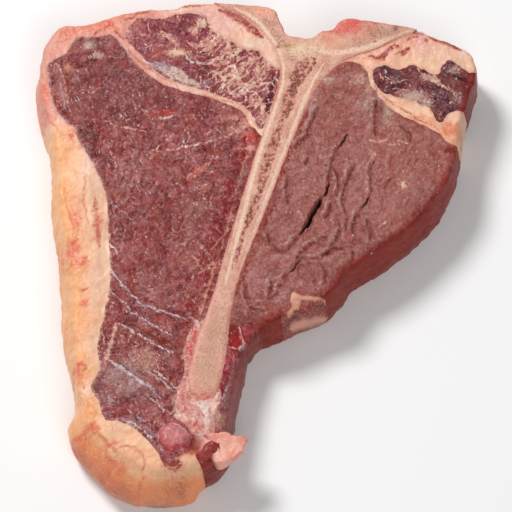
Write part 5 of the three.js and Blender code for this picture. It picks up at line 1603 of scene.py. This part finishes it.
# THE FLECKS
# Crumbs of fat and bone dust that the saw leaves lying in the grain of the lean. They are scattered thinly,
# and lie thickest over the outer half of the tenderloin.
FLECK_FIELDS = [
    ((66, 30), (10, 13), 0.9), ((57, 24), (5, 7), 0.5), ((60, 42), (9, 4), 0.35), ((-56, 60), (18, 18), 0.25),
    ((-24, 52), (22, 9), 0.4), ((-45, 12), (12, 24), 0.3), ((-45, -58), (12, 10), 0.4),
    ((30, 10), (20, 30), 0.16), ((-34, 80), (16, 9), 0.25),
]
FLECKS_TO_A_SQUARE_CM = 26.0
SQUARE_CM_TO_A_SQUARE_METRE = 1e4
FLECK_RADIUS = 0.26


def fleck_tree():
    tree = bpy.data.node_groups.new("fleck_scatter", "GeometryNodeTree")
    face = tree.interface
    face.new_socket("Cut face", in_out="INPUT", socket_type="NodeSocketGeometry")
    face.new_socket("Flecks per square metre", in_out="INPUT", socket_type="NodeSocketFloat")
    face.new_socket("Fleck size", in_out="INPUT", socket_type="NodeSocketFloat")
    face.new_socket("Finish", in_out="INPUT", socket_type="NodeSocketMaterial")
    face.new_socket("Flecks", in_out="OUTPUT", socket_type="NodeSocketGeometry")

    def node(kind, inputs=None, **settings):
        return add_node(tree, kind, inputs, **settings)

    given = node("NodeGroupInput").outputs
    thick = node("GeometryNodeInputNamedAttribute", {"Name": "flecks"},
        data_type="FLOAT").outputs["Attribute"]
    density = node("ShaderNodeMath", {0: thick, 1: given["Flecks per square metre"]},
        operation="MULTIPLY").outputs[0]
    spread = node("GeometryNodeDistributePointsOnFaces", {
        "Mesh": given["Cut face"], "Density": density, "Seed": 5,
    }).outputs
    crumb = node("GeometryNodeMeshUVSphere", {"Segments": 7, "Rings": 5,
        "Radius": given["Fleck size"]}).outputs["Mesh"]
    turn = node("FunctionNodeRandomValue", {"Min": (-0.3, -0.3, 0), "Max": (0.3, 0.3, 6.283), "Seed": 7},
        data_type="FLOAT_VECTOR")
    size = node("FunctionNodeRandomValue", {"Min": (0.5, 0.3, 0.2), "Max": (1.7, 0.9, 0.45), "Seed": 9},
        data_type="FLOAT_VECTOR")
    placed = node("GeometryNodeInstanceOnPoints", {
        "Points": spread["Points"], "Instance": crumb, "Rotation": turn.outputs[0], "Scale": size.outputs[0],
    }).outputs["Instances"]
    real = node("GeometryNodeRealizeInstances", {"Geometry": placed}).outputs[0]
    smooth = node("GeometryNodeSetShadeSmooth", {"Geometry": real}).outputs[0]
    finished = node("GeometryNodeSetMaterial", {"Geometry": smooth, "Material": given["Finish"]}).outputs[0]
    tree.links.new(finished, node("NodeGroupOutput").inputs[0])
    return tree


def fleck_finish():
    f = Finish("fleck")
    colour = f.over("CFA18E", "E9CDB8", f.grain(2, 3), 0.35, 0.65)
    return f.close(colour, 0.42, f.bumps((f.grain(0.3), 0.05)), Coat_Weight=0.2, Coat_Roughness=0.2)


def scatter_flecks(name, hosts, tree, finish):
    """Copies the upward faces of the hosts, scatters flecks on them, and keeps the flecks alone."""
    corners, faces, start = [], [], 0
    for host in hosts:
        mesh = host.data
        own = np.array([v.co[:] for v in mesh.vertices])
        top = [p.vertices[:] for p in mesh.polygons if p.normal.z > 0.5 and p.center.z > 0.8*THICKNESS*MM]
        corners.append(own)
        faces += [tuple(i + start for i in face) for face in top]
        start += len(own)
    corners = np.vstack(corners)
    sheet = bpy.data.meshes.new(name + "_ground")
    sheet.from_pydata(corners.tolist(), [], faces)
    drawn = corners/MM + np.array([*DRAWING_MIDDLE, 0])
    thick = patch(drawn, *FLECK_FIELDS)*np.clip(0.6 + 1.4*noise(drawn, 5, 181), 0, 2)
    sheet.attributes.new("flecks", "FLOAT", "POINT").data.foreach_set("value", thick.astype(np.float32))
    ground = in_scene(name + "_ground", sheet)
    modifier = ground.modifiers.new("flecks", "NODES")
    modifier.node_group = tree
    sockets = {item.name: item.identifier for item in tree.interface.items_tree if item.in_out == "INPUT"}
    modifier[sockets["Flecks per square metre"]] = FLECKS_TO_A_SQUARE_CM*SQUARE_CM_TO_A_SQUARE_METRE
    modifier[sockets["Fleck size"]] = FLECK_RADIUS*MM
    modifier[sockets["Finish"]] = finish
    evaluated = ground.evaluated_get(bpy.context.evaluated_depsgraph_get())
    result = bpy.data.meshes.new_from_object(evaluated)
    bpy.data.objects.remove(ground)
    return in_scene(name, result)


flecks = scatter_flecks("flecks_in_grain", (tender, loin, chine), fleck_tree(), fleck_finish())
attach(flecks, "root")


# THE FLOOR, LIGHT AND CAMERA
# A plain white floor, a soft lamp high at the back left with a wide weak one in front, and the camera at
# the height and distance from which the outline of the steak comes out as it is.
FLOOR_REACH = 3
FLOOR_WHITE = (0.9, 0.9, 0.9, 1)
floor_mesh = bpy.data.meshes.new("floor")
floor_corners = [(FLOOR_REACH*x, FLOOR_REACH*y, 0) for x, y in ((-1, -1), (1, -1), (1, 1), (-1, 1))]
floor_mesh.from_pydata(floor_corners, [], [(0, 1, 2, 3)])
floor = in_scene("floor", floor_mesh)
floor_skin = bpy.data.materials.new("white_floor")
floor_skin.use_nodes = True
floor_shader = floor_skin.node_tree.nodes["Principled BSDF"]
floor_shader.inputs["Base Color"].default_value = FLOOR_WHITE
floor_shader.inputs["Roughness"].default_value = 0.9
floor_mesh.materials.append(floor_skin)

LIGHTS = [  # name, place, width, watts
    ("lamp", (-0.55, 0.6, 1.05), 0.4, 13.5),
    ("fill", (0.3, -0.8, 1.1), 0.9, 6.5),
]
for light_name, place, width, watts in LIGHTS:
    lamp = bpy.data.lights.new(light_name, "AREA")
    lamp.shape = "DISK"
    lamp.size = width
    lamp.energy = watts
    holder = in_scene(light_name, lamp)
    holder.location = place
    holder.rotation_euler = (-Vector(place)).to_track_quat("-Z", "Y").to_euler()

ROOM_WHITE = (1, 1, 1, 1)
ROOM_STRENGTH = 0.22
world = bpy.data.worlds.new("pale_room")
world.use_nodes = True
room = world.node_tree.nodes["Background"]
room.inputs["Color"].default_value = ROOM_WHITE
room.inputs["Strength"].default_value = ROOM_STRENGTH
bpy.context.scene.world = world
bpy.context.scene.view_settings.view_transform = "Standard"

ELEVATION = math.radians(68)
CAMERA_DISTANCE = 1.0
TARGET = Vector((-0.000626, -0.007733, 0.025))
FOCAL_LENGTH = 182.8
lens = bpy.data.cameras.new("photo_camera")
lens.sensor_width = 36
lens.lens = FOCAL_LENGTH
lens.clip_start = 0.01
camera = in_scene("photo_camera", lens)
camera.location = TARGET + CAMERA_DISTANCE*Vector((0, -math.cos(ELEVATION), math.sin(ELEVATION)))
camera.rotation_euler = (TARGET - camera.location).to_track_quat("-Z", "Y").to_euler()
bpy.context.scene.camera = camera
